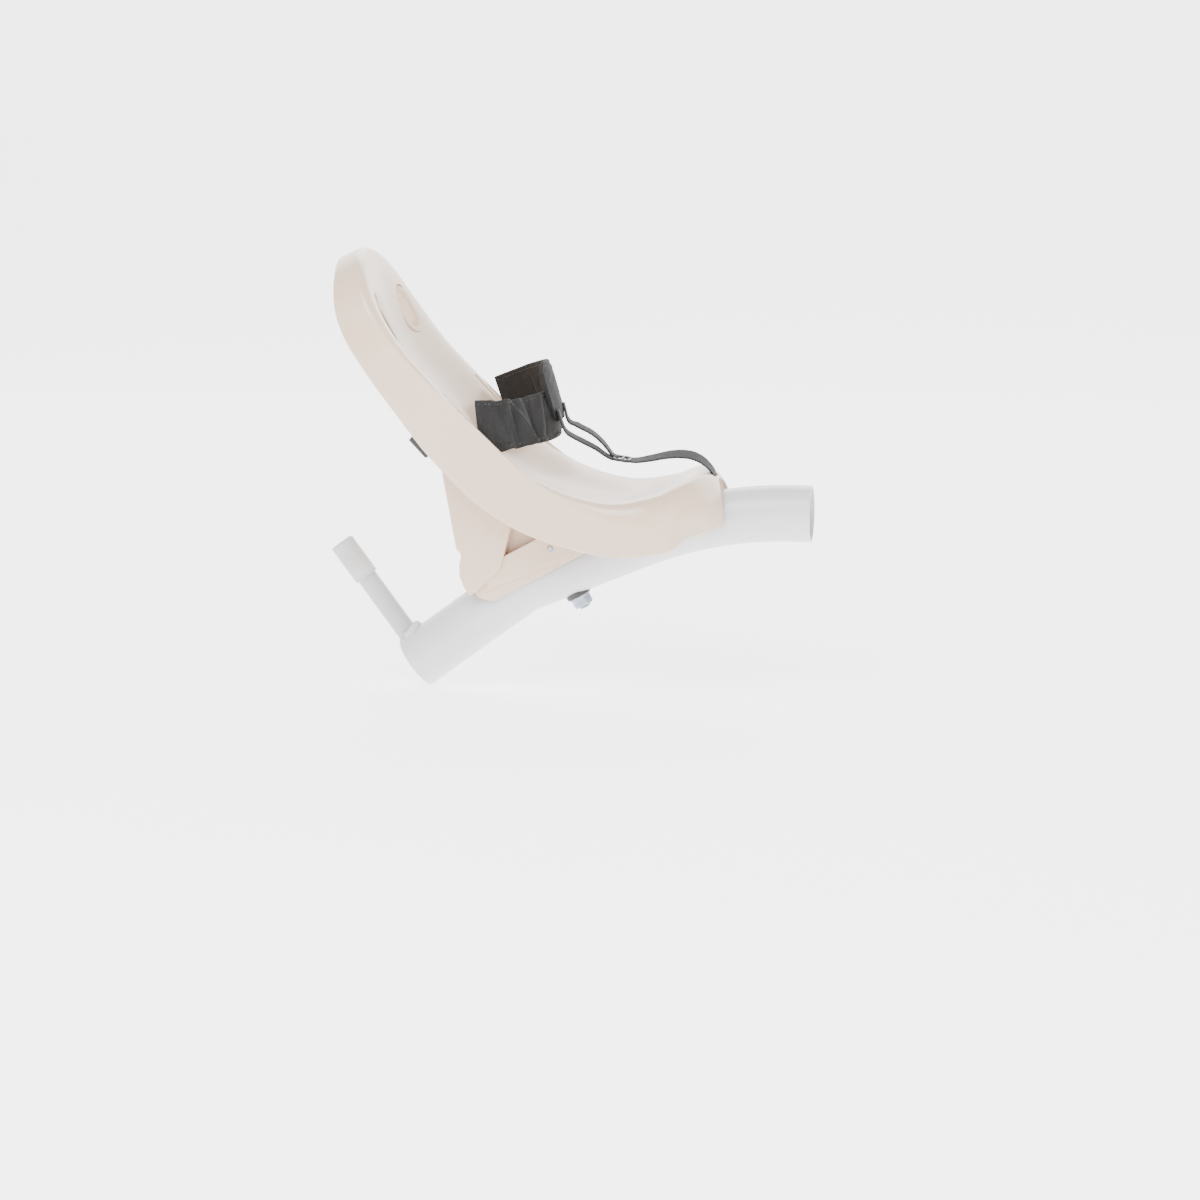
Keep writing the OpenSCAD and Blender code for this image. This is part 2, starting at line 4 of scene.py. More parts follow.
import bmesh
import bpy
import numpy as np
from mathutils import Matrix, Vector


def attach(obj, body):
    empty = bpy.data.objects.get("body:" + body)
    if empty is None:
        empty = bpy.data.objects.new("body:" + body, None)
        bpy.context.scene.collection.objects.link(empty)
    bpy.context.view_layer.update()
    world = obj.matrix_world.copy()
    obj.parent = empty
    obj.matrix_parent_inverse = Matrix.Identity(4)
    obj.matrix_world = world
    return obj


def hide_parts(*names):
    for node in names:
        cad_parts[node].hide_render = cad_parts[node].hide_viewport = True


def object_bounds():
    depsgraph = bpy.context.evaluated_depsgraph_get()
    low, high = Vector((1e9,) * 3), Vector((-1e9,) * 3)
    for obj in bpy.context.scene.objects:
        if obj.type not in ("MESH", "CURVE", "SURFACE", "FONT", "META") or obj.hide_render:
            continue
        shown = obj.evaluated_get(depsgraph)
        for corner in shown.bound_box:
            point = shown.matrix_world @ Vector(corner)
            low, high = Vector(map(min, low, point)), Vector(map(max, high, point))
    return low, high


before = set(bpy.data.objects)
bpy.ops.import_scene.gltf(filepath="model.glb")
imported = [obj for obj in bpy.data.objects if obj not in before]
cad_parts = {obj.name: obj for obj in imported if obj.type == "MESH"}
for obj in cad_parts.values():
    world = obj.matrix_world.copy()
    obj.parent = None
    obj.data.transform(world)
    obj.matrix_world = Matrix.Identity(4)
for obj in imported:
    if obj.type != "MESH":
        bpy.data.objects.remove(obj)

cad_low, cad_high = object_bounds()
PI = math.pi
MM = 0.001
ACROSS = np.array([0.0, 1.0, 0.0])


# ---------------------------------------------------------------- camera, floor and light
def aim(thing, target):
    """Turns a camera or lamp so that it looks at target."""
    thing.rotation_mode = "QUATERNION"
    thing.rotation_quaternion = (Vector(target) - thing.location).to_track_quat("-Z", "Y")


def make_camera():
    """A long lens 9 degrees round to the seat's right side and 10 degrees up, 4.2 m away."""
    centre = Vector((-0.2645, 0.0, -0.115))
    turn, rise, away = math.radians(9), math.radians(10), 4.2
    data = bpy.data.cameras.new("camera")
    data.sensor_width = 36
    data.lens = 36 * away / 1.5
    camera = bpy.data.objects.new("camera", data)
    heading = Vector((math.sin(turn) * math.cos(rise), -math.cos(turn) * math.cos(rise), math.sin(rise)))
    camera.location = centre + away * heading
    aim(camera, centre)
    bpy.context.scene.collection.objects.link(camera)
    bpy.context.scene.camera = camera


def area_lamp(name, place, target, size, power, tint=(1, 1, 1)):
    """A square soft box of the given side, aimed at target."""
    data = bpy.data.lights.new(name, "AREA")
    data.shape = "SQUARE"
    data.size, data.energy, data.color = size, power, tint
    lamp = bpy.data.objects.new(name, data)
    lamp.location = place
    aim(lamp, target)
    bpy.context.scene.collection.objects.link(lamp)


make_camera()
area_lamp("key_light", (-1.1, -2.0, 2.4), (-0.3, 0, 0.1), 1.8, 120)
area_lamp("fill_light", (1.8, -2.2, 1.0), (-0.3, 0, 0.0), 2.2, 52)
area_lamp("rim_light", (-0.6, 2.4, 2.0), (-0.3, 0, 0.1), 1.6, 28)
world = bpy.data.worlds.new("pale_room")
world.use_nodes = True
world.node_tree.nodes["Background"].inputs["Color"].default_value = (0.96, 0.97, 1.0, 1)
world.node_tree.nodes["Background"].inputs["Strength"].default_value = 1.3
bpy.context.scene.world = world


# ---------------------------------------------------------------- mesh helpers
def mesh_object(name, points, faces, uv=None):
    """A mesh object at the origin from points in metres and faces; uv is one pair per point."""
    mesh = bpy.data.meshes.new(name)
    mesh.from_pydata(np.asarray(points, float).reshape(-1, 3).tolist(), [], faces)
    if uv is not None:
        layer = mesh.uv_layers.new(name="UVMap")
        corner = np.empty(len(mesh.loops), dtype=np.int32)
        mesh.loops.foreach_get("vertex_index", corner)
        layer.data.foreach_set("uv", np.asarray(uv, float).reshape(-1, 2)[corner].ravel())
    mesh.update()
    thing = bpy.data.objects.new(name, mesh)
    bpy.context.scene.collection.objects.link(thing)
    return thing


def grid_faces(rows, columns, wrap_rows=False, wrap_columns=False):
    """Quads over a rows by columns grid of points, wrapped round where asked."""
    r = np.arange(rows if wrap_rows else rows - 1)
    c = np.arange(columns if wrap_columns else columns - 1)
    r, c = np.meshgrid(r, c, indexing="ij")
    r2, c2 = (r + 1) % rows, (c + 1) % columns
    quads = np.stack([r * columns + c, r * columns + c2, r2 * columns + c2, r2 * columns + c], -1)
    return quads.reshape(-1, 4).tolist()


def capped_faces(rows, columns):
    """The faces of a grid closed round its columns, with one face over each end."""
    ends = [list(range(columns))[::-1], list(range((rows - 1) * columns, rows * columns))]
    return grid_faces(rows, columns, False, True) + ends


def tidy_mesh(thing, merge=1e-6, smooth=40, outward=True):
    """Merges doubled points, points the faces outwards and shades smooth except over sharp edges."""
    work = bmesh.new()
    work.from_mesh(thing.data)
    bmesh.ops.remove_doubles(work, verts=work.verts, dist=merge)
    bmesh.ops.dissolve_degenerate(work, edges=work.edges, dist=merge)
    if outward:
        bmesh.ops.recalc_face_normals(work, faces=work.faces)
    limit = math.radians(smooth)
    for edge in work.edges:
        edge.smooth = len(edge.link_faces) == 2 and edge.calc_face_angle(0) < limit
    for face in work.faces:
        face.smooth = True
    work.to_mesh(thing.data)
    work.free()
    thing.data.update()
    return thing


def finish_piece(thing, body, slot, material, *nodes):
    """Gives a finished piece its body and material and hides the CAD nodes it stands for; slot is not used.
    """
    thing.data.materials.clear()
    thing.data.materials.append(material)
    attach(thing, body)
    if nodes:
        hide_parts(*nodes)
    return thing


def unit_rows(v):
    """Each row divided by its length."""
    return v / np.maximum(np.linalg.norm(v, axis=-1, keepdims=True), 1e-12)


def squared(side, ahead):
    """Directions made square to the heading."""
    return unit_rows(side - ahead * np.sum(side * ahead, -1, keepdims=True))


def run_lengths(points):
    """Length of the way from the first point to each point."""
    return np.concatenate([[0], np.cumsum(np.linalg.norm(np.diff(points, axis=0), axis=1))])


def swept(name, path, across, profile, closed=False, scale=None):
    """A closed profile carried along a path. path is n points, across n directions that the profile's
    first axis follows, profile m pairs; its second axis is the path's heading crossed with the first.
    The u of the map runs along the path in metres and the v round the profile."""
    path = np.asarray(path, float)
    n, m = len(path), len(profile)
    ahead = np.roll(path, -1, 0) - np.roll(path, 1, 0)
    if not closed:
        ahead[0], ahead[-1] = path[1] - path[0], path[-1] - path[-2]
    ahead = unit_rows(ahead)
    side = squared(np.asarray(across, float), ahead)
    off = np.cross(ahead, side)
    prof = np.asarray(profile, float)
    size = np.ones((n, 2)) if scale is None else np.asarray(scale, float).reshape(n, -1) * np.ones((n, 2))
    points = (path[:, None] + side[:, None] * (prof[None, :, :1] * size[:, None, :1])
              + off[:, None] * (prof[None, :, 1:] * size[:, None, 1:]))
    v = np.linspace(0, 1, m, endpoint=False)
    uv = np.stack(np.broadcast_arrays(run_lengths(path)[:, None], v[None, :]), -1)
    return mesh_object(name, points, grid_faces(n, m, True, True) if closed else capped_faces(n, m), uv)


def revolved(name, profile, base, axis, steps=96, start=(1, 0, 0)):
    """A profile of (radius, height) pairs turned round an axis from base; ends at radius 0 close."""
    axis = np.asarray(axis, float) / np.linalg.norm(axis)
    first = np.asarray(start, float) - axis * np.dot(start, axis)
    first /= np.linalg.norm(first)
    second = np.cross(axis, first)
    w = np.linspace(0, 2 * PI, steps, endpoint=False)
    ring = np.cos(w)[:, None] * first + np.sin(w)[:, None] * second
    prof = np.asarray(profile, float)
    points = np.asarray(base) + prof[:, None, :1] * ring[None] + prof[:, None, 1:] * axis
    return tidy_mesh(mesh_object(name, points, grid_faces(len(prof), steps, False, True)), 1e-7)


def rounded_rectangle(width, height, radius, steps=6):
    """Points round a rectangle with round corners, centred on the origin."""
    radius = min(radius, width / 2, height / 2)
    w = np.linspace(0, PI / 2, steps + 1)
    out = []
    for quarter, (sx, sy) in enumerate([(1, 1), (-1, 1), (-1, -1), (1, -1)]):
        turn = w + quarter * PI / 2
        out.append(np.stack([sx * (width / 2 - radius) + radius * np.cos(turn),
                             sy * (height / 2 - radius) + radius * np.sin(turn)], -1))
    return np.concatenate(out)


def circle_points(radius, steps):
    """Points round a circle."""
    w = np.linspace(0, 2 * PI, steps, endpoint=False)
    return np.stack([radius * np.cos(w), radius * np.sin(w)], -1)


def applied(thing):
    """The piece's mesh with its modifiers worked in, in place of the live stack."""
    graph = bpy.context.evaluated_depsgraph_get()
    mesh = bpy.data.meshes.new_from_object(thing.evaluated_get(graph))
    thing.modifiers.clear()
    thing.data = mesh
    return thing


def cut_away(thing, cutters):
    """Subtracts closed cutter meshes from a piece and throws the cutters away."""
    for cutter in cutters:
        step = thing.modifiers.new("cut", "BOOLEAN")
        step.operation, step.object, step.solver = "DIFFERENCE", cutter, "EXACT"
    applied(thing)
    for cutter in cutters:
        bpy.data.objects.remove(cutter, do_unlink=True)
    return thing


# ---------------------------------------------------------------- arm geometry, the same as the design
ARM_RUN = [(25, 22.5, 500), (143, 14, 120), (155.9, 0, 0)]
ARM_R, ARM_WALL = 35.0, 3.0


def arm_path(step=6.0):
    """The arm's axis from its open end: straights and arcs in the X-Z plane, with each point's slope."""
    places, slopes = [], []
    x, z, slope = 0.0, 0.0, 0.0
    for length, bend, radius in ARM_RUN:
        t = np.linspace(0, length, max(2, int(length / step)))
        places.append(np.stack([x - t * math.cos(slope), 0 * t, z - t * math.sin(slope)], -1))
        slopes.append(np.full(len(t), slope))
        x, z = places[-1][-1, 0], places[-1][-1, 2]
        if bend:
            turn = math.radians(bend)
            w = slope + np.linspace(0, turn, max(4, int(radius * turn / step)))[1:]
            places.append(np.stack([x + radius * (math.sin(slope) - np.sin(w)), 0 * w,
                                    z + radius * (np.cos(w) - math.cos(slope))], -1))
            slopes.append(w)
            x, z = places[-1][-1, 0], places[-1][-1, 2]
            slope += turn
    p, s = np.concatenate(places), np.concatenate(slopes)
    keep = np.r_[True, np.linalg.norm(np.diff(p, axis=0), axis=1) > 1e-6]
    return p[keep], s[keep]


ARM_POINTS, ARM_SLOPES = arm_path()
TAIL, TAIL_SLOPE = ARM_POINTS[-1], ARM_SLOPES[-1]
BACK = np.array([-math.cos(TAIL_SLOPE), 0, -math.sin(TAIL_SLOPE)])
BOLT_SLOPE = math.radians(22.5)
SLIDE_SLOPE = math.radians(29)
FRONT_LENGTH, BEND_RADIUS = ARM_RUN[0][0], ARM_RUN[0][2]
straight_start = np.array([-FRONT_LENGTH - BEND_RADIUS * math.sin(BOLT_SLOPE), 0,
                           -BEND_RADIUS * (1 - math.cos(BOLT_SLOPE))])
BOLT_INSET, SLIDE_TRAVEL = 100.4, 45.0
BOLT = straight_start - BOLT_INSET * np.array([math.cos(BOLT_SLOPE), 0, math.sin(BOLT_SLOPE)])
SLIDE_UP = np.array([math.cos(SLIDE_SLOPE), 0, math.sin(SLIDE_SLOPE)])
SLIDE_OFF = np.array([-math.sin(SLIDE_SLOPE), 0, math.cos(SLIDE_SLOPE)])

# ---------------------------------------------------------------- seat geometry, the same as the design
RIM_LINE = np.array([
    [-584, 380], [-552, 314], [-522, 254], [-486, 202], [-443, 156], [-398, 109], [-350, 66],
    [-296, 37], [-236, 24], [-182, 33], [-134, 52], [-100, 34]], float)
RIM_HALF = 113.0
SLOT_STATION, SLOT_ACROSS = 241.0, 104.0
FRONT_POWER, LEVEL_RUN = 2.25, 90


def rim_curve(steps=40):
    """Catmull-Rom curve through the rim's stations, with its running length."""
    t = np.linspace(0, 1, steps, endpoint=False)[:, None]
    spans = []
    for i in range(len(RIM_LINE) - 3):
        a, b, c, d = RIM_LINE[i:i + 4]
        spans.append(0.5 * (2 * b + (c - a) * t + (2 * a - 5 * b + 4 * c - d) * t ** 2
                            + (3 * b - a - 3 * c + d) * t ** 3))
    points = np.concatenate(spans + [RIM_LINE[-2][None]])
    return points, np.concatenate([[0], np.cumsum(np.hypot(*np.diff(points, axis=0).T))])


RIM_POINTS, RIM_RUN = rim_curve()
RIM_TOTAL = 552.95
RIM_RUN = RIM_RUN * RIM_TOTAL / RIM_RUN[-1]


def rim_inside(a):
    """A place on the rim line between its two ends."""
    return np.stack([np.interp(a, RIM_RUN, RIM_POINTS[:, 0]), np.interp(a, RIM_RUN, RIM_POINTS[:, 1])], -1)


def rim_dir(a):
    """Heading of the rim line, from chords 16 mm long, levelling out over the last 90 mm."""
    c = np.clip(a, 9, RIM_TOTAL - 9)
    level = np.clip((np.asarray(a, float) - RIM_TOTAL + LEVEL_RUN) / LEVEL_RUN, 0, 1)[..., None]
    level = level * level * (3 - 2 * level)
    chord = unit_rows(rim_inside(c + 8) - rim_inside(c - 8))
    return unit_rows(chord * (1 - level) + np.array([1.0, 0]) * level)


def rim_at(a):
    """A place on the rim line, run on straight past its two ends."""
    a = np.asarray(a, float)
    c = np.clip(a, 0, RIM_TOTAL)
    return rim_inside(c) + (a - c)[..., None] * rim_dir(a)


def seat_point(a, b, h):
    """A place on the seat in metres: a along the profile, b across, h off the rim towards the sitter."""
    a, b, h = np.broadcast_arrays(np.asarray(a, float), b, h)
    p, d = rim_at(a), rim_dir(a)
    return np.stack([p[..., 0] - d[..., 1] * h, b, p[..., 1] + d[..., 0] * h], -1) * MM


def smooth_lookup(a, keys, values):
    """Values between keys eased with a smooth step, so that no crease shows."""
    keys, values = np.asarray(keys, float), np.asarray(values, float)
    i = np.clip(np.searchsorted(keys, a) - 1, 0, len(keys) - 2)
    t = np.clip((a - keys[i]) / (keys[i + 1] - keys[i]), 0, 1)
    slope = np.gradient(values, keys)
    w = keys[i + 1] - keys[i]
    return ((2 * t ** 3 - 3 * t ** 2 + 1) * values[i] + (t ** 3 - 2 * t ** 2 + t) * w * slope[i]
            + (-2 * t ** 3 + 3 * t ** 2) * values[i + 1] + (t ** 3 - t ** 2) * w * slope[i + 1])


def dish_depth(a):
    """How deep the hollow is along its middle."""
    return smooth_lookup(a, [0, 120, 200, 330, 400, 450, 520, RIM_TOTAL], [12, 22, 24, 24, 18, 15, 13, 11])


def dish_height(a, share):
    """Height of the hollow's face at a share of the way out to the rim."""
    return -dish_depth(a) * (1 + np.cos(PI * np.minimum(share, 1) ** 1.3)) / 2


def skirt_depth(a):
    """How far the skirt hangs below the rim line."""
    return smooth_lookup(a, [-40, 0, 60, 120, 230, 330, 435, 485, 520, RIM_TOTAL, RIM_TOTAL + 60],
                         [30, 34, 47, 50, 62, 64, 61, 66, 69, 62, 62])


def rim_radius(a):
    """How far the rim's round stands out."""
    return smooth_lookup(a, [0, RIM_TOTAL - 130, RIM_TOTAL, RIM_TOTAL + 60], [12, 12, 32, 32])


def rim_droop(a):
    """How far the rim's round falls."""
    return smooth_lookup(a, [0, RIM_TOTAL - 130, RIM_TOTAL, RIM_TOTAL + 60], [12, 12, 52, 52])


def outline(end_steps=96, side_steps=150):
    """The seat's outline unrolled: medial station, and outward direction along and across."""
    half = end_steps // 2
    w1 = PI + PI / 2 * np.arange(half) / half
    w2 = 1.5 * PI + PI * np.arange(end_steps) / end_steps
    w3 = PI / 2 + PI / 2 * np.arange(half) / half
    blunt = (np.abs(np.cos(w2)) ** FRONT_POWER + np.abs(np.sin(w2)) ** FRONT_POWER) ** (-1 / FRONT_POWER)
    low, high = RIM_HALF, RIM_TOTAL - RIM_HALF
    s = np.arange(side_steps) / side_steps
    rows = [np.stack([np.full(half, low), np.cos(w1), np.sin(w1)], -1),
            np.stack([low + (high - low) * s, 0 * s, -1 + 0 * s], -1),
            np.stack([np.full(end_steps, high), blunt * np.cos(w2), blunt * np.sin(w2)], -1),
            np.stack([high - (high - low) * s, 0 * s, 1 + 0 * s], -1),
            np.stack([np.full(half, low), np.cos(w3), np.sin(w3)], -1)]
    return np.concatenate(rows)


def make_shell():
    """The moulded seat: rings of the outline from the middle of the hollow out over the round rim, down the
    skirt, round its lower edge and back up inside to the middle."""
    o = outline()
    station, along, across = o.T
    wall = 4.0

    def dish_ring(share, sink):
        a, b = station + share * RIM_HALF * along, share * RIM_HALF * across
        return seat_point(a, b, dish_height(a, share) - sink)

    def edge_ring(turn, fall, inset, low=0.0):
        crest = station + RIM_HALF * along
        q, droop = rim_radius(crest) - inset, rim_droop(crest)
        out = RIM_HALF + q * math.sin(turn)
        drop = inset + (droop - inset) * (1 - math.cos(turn)) + fall * (skirt_depth(crest) - droop) + low
        return seat_point(station + out * along, out * across, -drop)

    shares = np.concatenate([[0, 0.03], np.linspace(0.08, 1, 30)])
    turns = np.linspace(0, PI / 2, 13)[1:]
    falls = np.linspace(0, 1, 16)[1:]
    lips = np.linspace(0, PI, 9)[1:-1]
    rings = [dish_ring(s, 0) for s in shares] + [edge_ring(t, 0, 0) for t in turns]
    rings += [edge_ring(PI / 2, f, 0) for f in falls]
    rings += [edge_ring(PI / 2, 1, wall / 2 * (1 - math.cos(w)), wall / 2 * math.sin(w)) for w in lips]
    rings += [edge_ring(PI / 2, f, wall) for f in falls[::-1]] + [edge_ring(t, 0, wall) for t in turns[::-1]]
    rings += [dish_ring(s, wall) for s in shares[::-1]]
    rings = np.array(rings)
    shell = mesh_object("seat_skin", rings, grid_faces(len(rings), len(o), False, True))
    tidy_mesh(shell, 2e-5)
    cut_away(shell, shell_cutters())
    return tidy_mesh(shell, 1e-6, 32, outward=False)


def face_frame(a, b, h):
    """Origin and unit vectors of a frame on the seat's face: along the profile, across, off the face."""
    d = rim_dir(np.array(float(a)))
    return (seat_point(a, b, h), np.array([d[0], 0, d[1]]), ACROSS, np.array([-d[1], 0, d[0]]))


def prism(name, outline_points, origin, ex, ey, ez, low, high):
    """A closed prism over an outline of pairs, from low to high along ez; sizes in millimetres."""
    pts = np.asarray(outline_points, float) * MM
    flat = origin + pts[:, :1] * ex + pts[:, 1:] * ey
    points = np.concatenate([flat + ez * low * MM, flat + ez * high * MM])
    return tidy_mesh(mesh_object(name, points, capped_faces(2, len(pts))), 1e-7)


PORT = dict(station=79, across=68, long=56, wide=26, tilt=math.radians(19), pitch=math.radians(2.3))


def port_frame(side):
    """The frame of an oval port: on the side of the hollow, tilted inwards with it."""
    origin, ex, ey, ez = face_frame(PORT["station"], side * PORT["across"], 0)
    height = dish_height(np.array(float(PORT["station"])), PORT["across"] / RIM_HALF)
    origin = origin + ez * float(height) * MM
    b = PORT["pitch"]
    ex, ez = ex * math.cos(b) - ez * math.sin(b), ex * math.sin(b) + ez * math.cos(b)
    turn = side * PORT["tilt"]
    ey2 = ey * math.cos(turn) + ez * math.sin(turn)
    ez2 = -ey * math.sin(turn) + ez * math.cos(turn)
    return origin, ex, ey2, ez2


def slide_point(x, y, z):
    """A place in the slide's own frame, in metres."""
    return (BOLT + np.asarray(x, float)[..., None] * SLIDE_UP + np.asarray(z, float)[..., None] * SLIDE_OFF
            + np.asarray(y, float)[..., None] * ACROSS) * MM


def shell_cutters():
    """Cutters for the belt slots, the ports, the crotch strap's slot and the arm's room."""
    cutters = []
    for side in (-1, 1):
        origin, ex, ey, ez = face_frame(SLOT_STATION, side * SLOT_ACROSS, 0)
        cutters.append(prism("slot_cutter", rounded_rectangle(92, 8, 4), origin, ex, ey, ez, -30, 30))
        origin, ex, ey, ez = port_frame(side)
        hole = rounded_rectangle(PORT["long"], PORT["wide"], PORT["wide"] / 2, 10)
        cutters.append(prism("port_cutter", hole, origin, ex, ey, ez, -30, 20))
        flange = rounded_rectangle(65.6, 35.6, 17.8, 14)
        cutters.append(prism("port_seat_cutter", flange, origin, ex, ey, ez, 1.55, 20))
    ex, ey, ez = np.eye(3)
    slot = rounded_rectangle(7.5, 30, 3) + np.array([-121.75, 0])
    cutters.append(prism("crotch_cutter", slot, np.zeros(3), ex, ey, ez, 36, 60))
    # The top of the arm's first bend, and of the straight behind it, as the seat finds them
    # at the slide's low end
    x = np.arange(-224, -59, 4.0)[:, None]
    reach = float(BEND_RADIUS + ARM_R)
    u = x - SLIDE_TRAVEL * math.cos(SLIDE_SLOPE) + FRONT_LENGTH
    bend_end = -reach * math.sin(BOLT_SLOPE)
    bend_top = np.sqrt(np.maximum(reach ** 2 - u ** 2, 0))
    straight_top = reach * math.cos(BOLT_SLOPE) + (u - bend_end) * math.tan(BOLT_SLOPE)
    gap, half = 1.5, ARM_R + 2
    shift = SLIDE_TRAVEL * math.sin(SLIDE_SLOPE) + gap - BEND_RADIUS
    top = shift + np.where(u > bend_end, bend_top, straight_top)
    w = np.linspace(0, PI, 37)[None]
    y = np.concatenate([[[half]], half * np.cos(w), [[-half]]], 1) + 0 * x
    z = np.concatenate([0 * x - 60, top - half * (1 - np.sin(w)), 0 * x - 60], 1)
    arch = np.stack([x + 0 * y, y, z], -1) * MM
    rows, columns = arch.shape[:2]
    ends = [list(range(columns)), list(range((rows - 1) * columns, rows * columns))[::-1]]
    faces = grid_faces(rows, columns, False, True) + ends
    cutters.append(tidy_mesh(mesh_object("arm_cutter", arch, faces), 1e-7))
    return cutters


# ---------------------------------------------------------------- materials
def new_material(name):
    """A node material with an empty tree but for its output and shader."""
    material = bpy.data.materials.new(name)
    material.use_nodes = True
    tree = material.node_tree
    return material, tree.nodes, tree.links, tree.nodes["Principled BSDF"]


def node_group(name, inputs, outputs):
    """A new node group with number sockets; its nodes and links, and the nodes that stand for its sockets."""
    group = bpy.data.node_groups.new(name, "ShaderNodeTree")
    for way, titles in (("INPUT", inputs), ("OUTPUT", outputs)):
        for title in titles:
            group.interface.new_socket(title, in_out=way, socket_type="NodeSocketFloat")
    nodes = group.nodes
    return group, nodes, group.links, nodes.new("NodeGroupInput"), nodes.new("NodeGroupOutput")


def grain_group():
    """Fine and broad surface grain: two noises on the object's coordinates give a mask and a height."""
    group, nodes, links, source, sink = node_group(
        "moulded_grain", ("Fine scale", "Broad scale"), ("Height", "Mask"))
    place = nodes.new("ShaderNodeTexCoord")
    fine, broad = nodes.new("ShaderNodeTexNoise"), nodes.new("ShaderNodeTexNoise")
    fine.inputs["Detail"].default_value = 3
    broad.inputs["Detail"].default_value = 4
    for noise, scale in ((fine, "Fine scale"), (broad, "Broad scale")):
        links.new(place.outputs["Object"], noise.inputs["Vector"])
        links.new(source.outputs[scale], noise.inputs["Scale"])
    links.new(fine.outputs["Fac"], sink.inputs["Height"])
    links.new(broad.outputs["Fac"], sink.inputs["Mask"])
    return group


def wear_group():
    """Edge wear: how far the bevelled normal leans from the face's own, broken up by a noise."""
    group, nodes, links, source, sink = node_group("edge_wear", ("Reach", "Amount"), ("Mask",))
    place, noise = nodes.new("ShaderNodeTexCoord"), nodes.new("ShaderNodeTexNoise")
    noise.inputs["Scale"].default_value = 160
    bevel, shape = nodes.new("ShaderNodeBevel"), nodes.new("ShaderNodeNewGeometry")
    dot = nodes.new("ShaderNodeVectorMath")
    dot.operation = "DOT_PRODUCT"
    lean, spread, most = (nodes.new("ShaderNodeMath") for _ in range(3))
    lean.operation, spread.operation, most.operation = "SUBTRACT", "MULTIPLY", "MULTIPLY"
    lean.inputs[0].default_value = 1.0
    spread.use_clamp = True
    links.new(place.outputs["Object"], noise.inputs["Vector"])
    links.new(source.outputs["Reach"], bevel.inputs["Radius"])
    links.new(bevel.outputs["Normal"], dot.inputs[0])
    links.new(shape.outputs["True Normal"], dot.inputs[1])
    links.new(dot.outputs["Value"], lean.inputs[1])
    links.new(lean.outputs[0], spread.inputs[0])
    links.new(source.outputs["Amount"], spread.inputs[1])
    links.new(spread.outputs[0], most.inputs[0])
    links.new(noise.outputs["Fac"], most.inputs[1])
    links.new(most.outputs[0], sink.inputs["Mask"])
    return group


def weave_group():
    """Woven cloth on a piece's own map, u along and v across in metres: warp and weft ribs that pass over
    and under one another, and a slow noise for uneven dye."""
    group, nodes, links, source, sink = node_group("cloth_weave", ("Along", "Across"), ("Height", "Dye"))
    uv, split = nodes.new("ShaderNodeUVMap"), nodes.new("ShaderNodeSeparateXYZ")
    uv.uv_map = "UVMap"
    links.new(uv.outputs["UV"], split.inputs[0])

    def sine(axis, count):
        scaled, wave = nodes.new("ShaderNodeMath"), nodes.new("ShaderNodeMath")
        scaled.operation, wave.operation = "MULTIPLY", "SINE"
        links.new(split.outputs[axis], scaled.inputs[0])
        links.new(source.outputs[count], scaled.inputs[1])
        links.new(scaled.outputs[0], wave.inputs[0])
        return wave.outputs[0]

    both, lift = nodes.new("ShaderNodeMath"), nodes.new("ShaderNodeMath")
    both.operation, lift.operation = "MULTIPLY", "MULTIPLY_ADD"
    links.new(sine("X", "Along"), both.inputs[0])
    links.new(sine("Y", "Across"), both.inputs[1])
    links.new(both.outputs[0], lift.inputs[0])
    lift.inputs[1].default_value, lift.inputs[2].default_value = 0.5, 0.5
    place, noise = nodes.new("ShaderNodeTexCoord"), nodes.new("ShaderNodeTexNoise")
    noise.inputs["Scale"].default_value, noise.inputs["Detail"].default_value = 30, 6
    links.new(place.outputs["Object"], noise.inputs["Vector"])
    links.new(lift.outputs[0], sink.inputs["Height"])
    links.new(noise.outputs["Fac"], sink.inputs["Dye"])
    return group


GRAIN, WEAR, WEAVE = grain_group(), wear_group(), weave_group()


def add_group(nodes, group, **values):
    """Places a node group in a material with its own values."""
    node = nodes.new("ShaderNodeGroup")
    node.node_tree = group
    for key, value in values.items():
        node.inputs[key.replace("_", " ")].default_value = value
    return node


def ramp(nodes, stops):
    """A colour ramp with the given (place, colour) stops."""
    node = nodes.new("ShaderNodeValToRGB")
    elements = node.color_ramp.elements
    elements[0].position, elements[0].color = stops[0][0], (*stops[0][1], 1)
    elements[1].position, elements[1].color = stops[-1][0], (*stops[-1][1], 1)
    for place, colour in stops[1:-1]:
        element = elements.new(place)
        element.color = (*colour, 1)
    return node


def span(nodes, links, source, low, high):
    """Maps a mask from 0..1 to low..high."""
    node = nodes.new("ShaderNodeMapRange")
    node.inputs["To Min"].default_value, node.inputs["To Max"].default_value = low, high
    links.new(source, node.inputs["Value"])
    return node.outputs[0]


def bump(nodes, links, height, strength, distance, shader):
    """A bump node from a height to the shader's normal."""
    node = nodes.new("ShaderNodeBump")
    node.inputs["Strength"].default_value, node.inputs["Distance"].default_value = strength, distance
    links.new(height, node.inputs["Height"])
    links.new(node.outputs["Normal"], shader.inputs["Normal"])


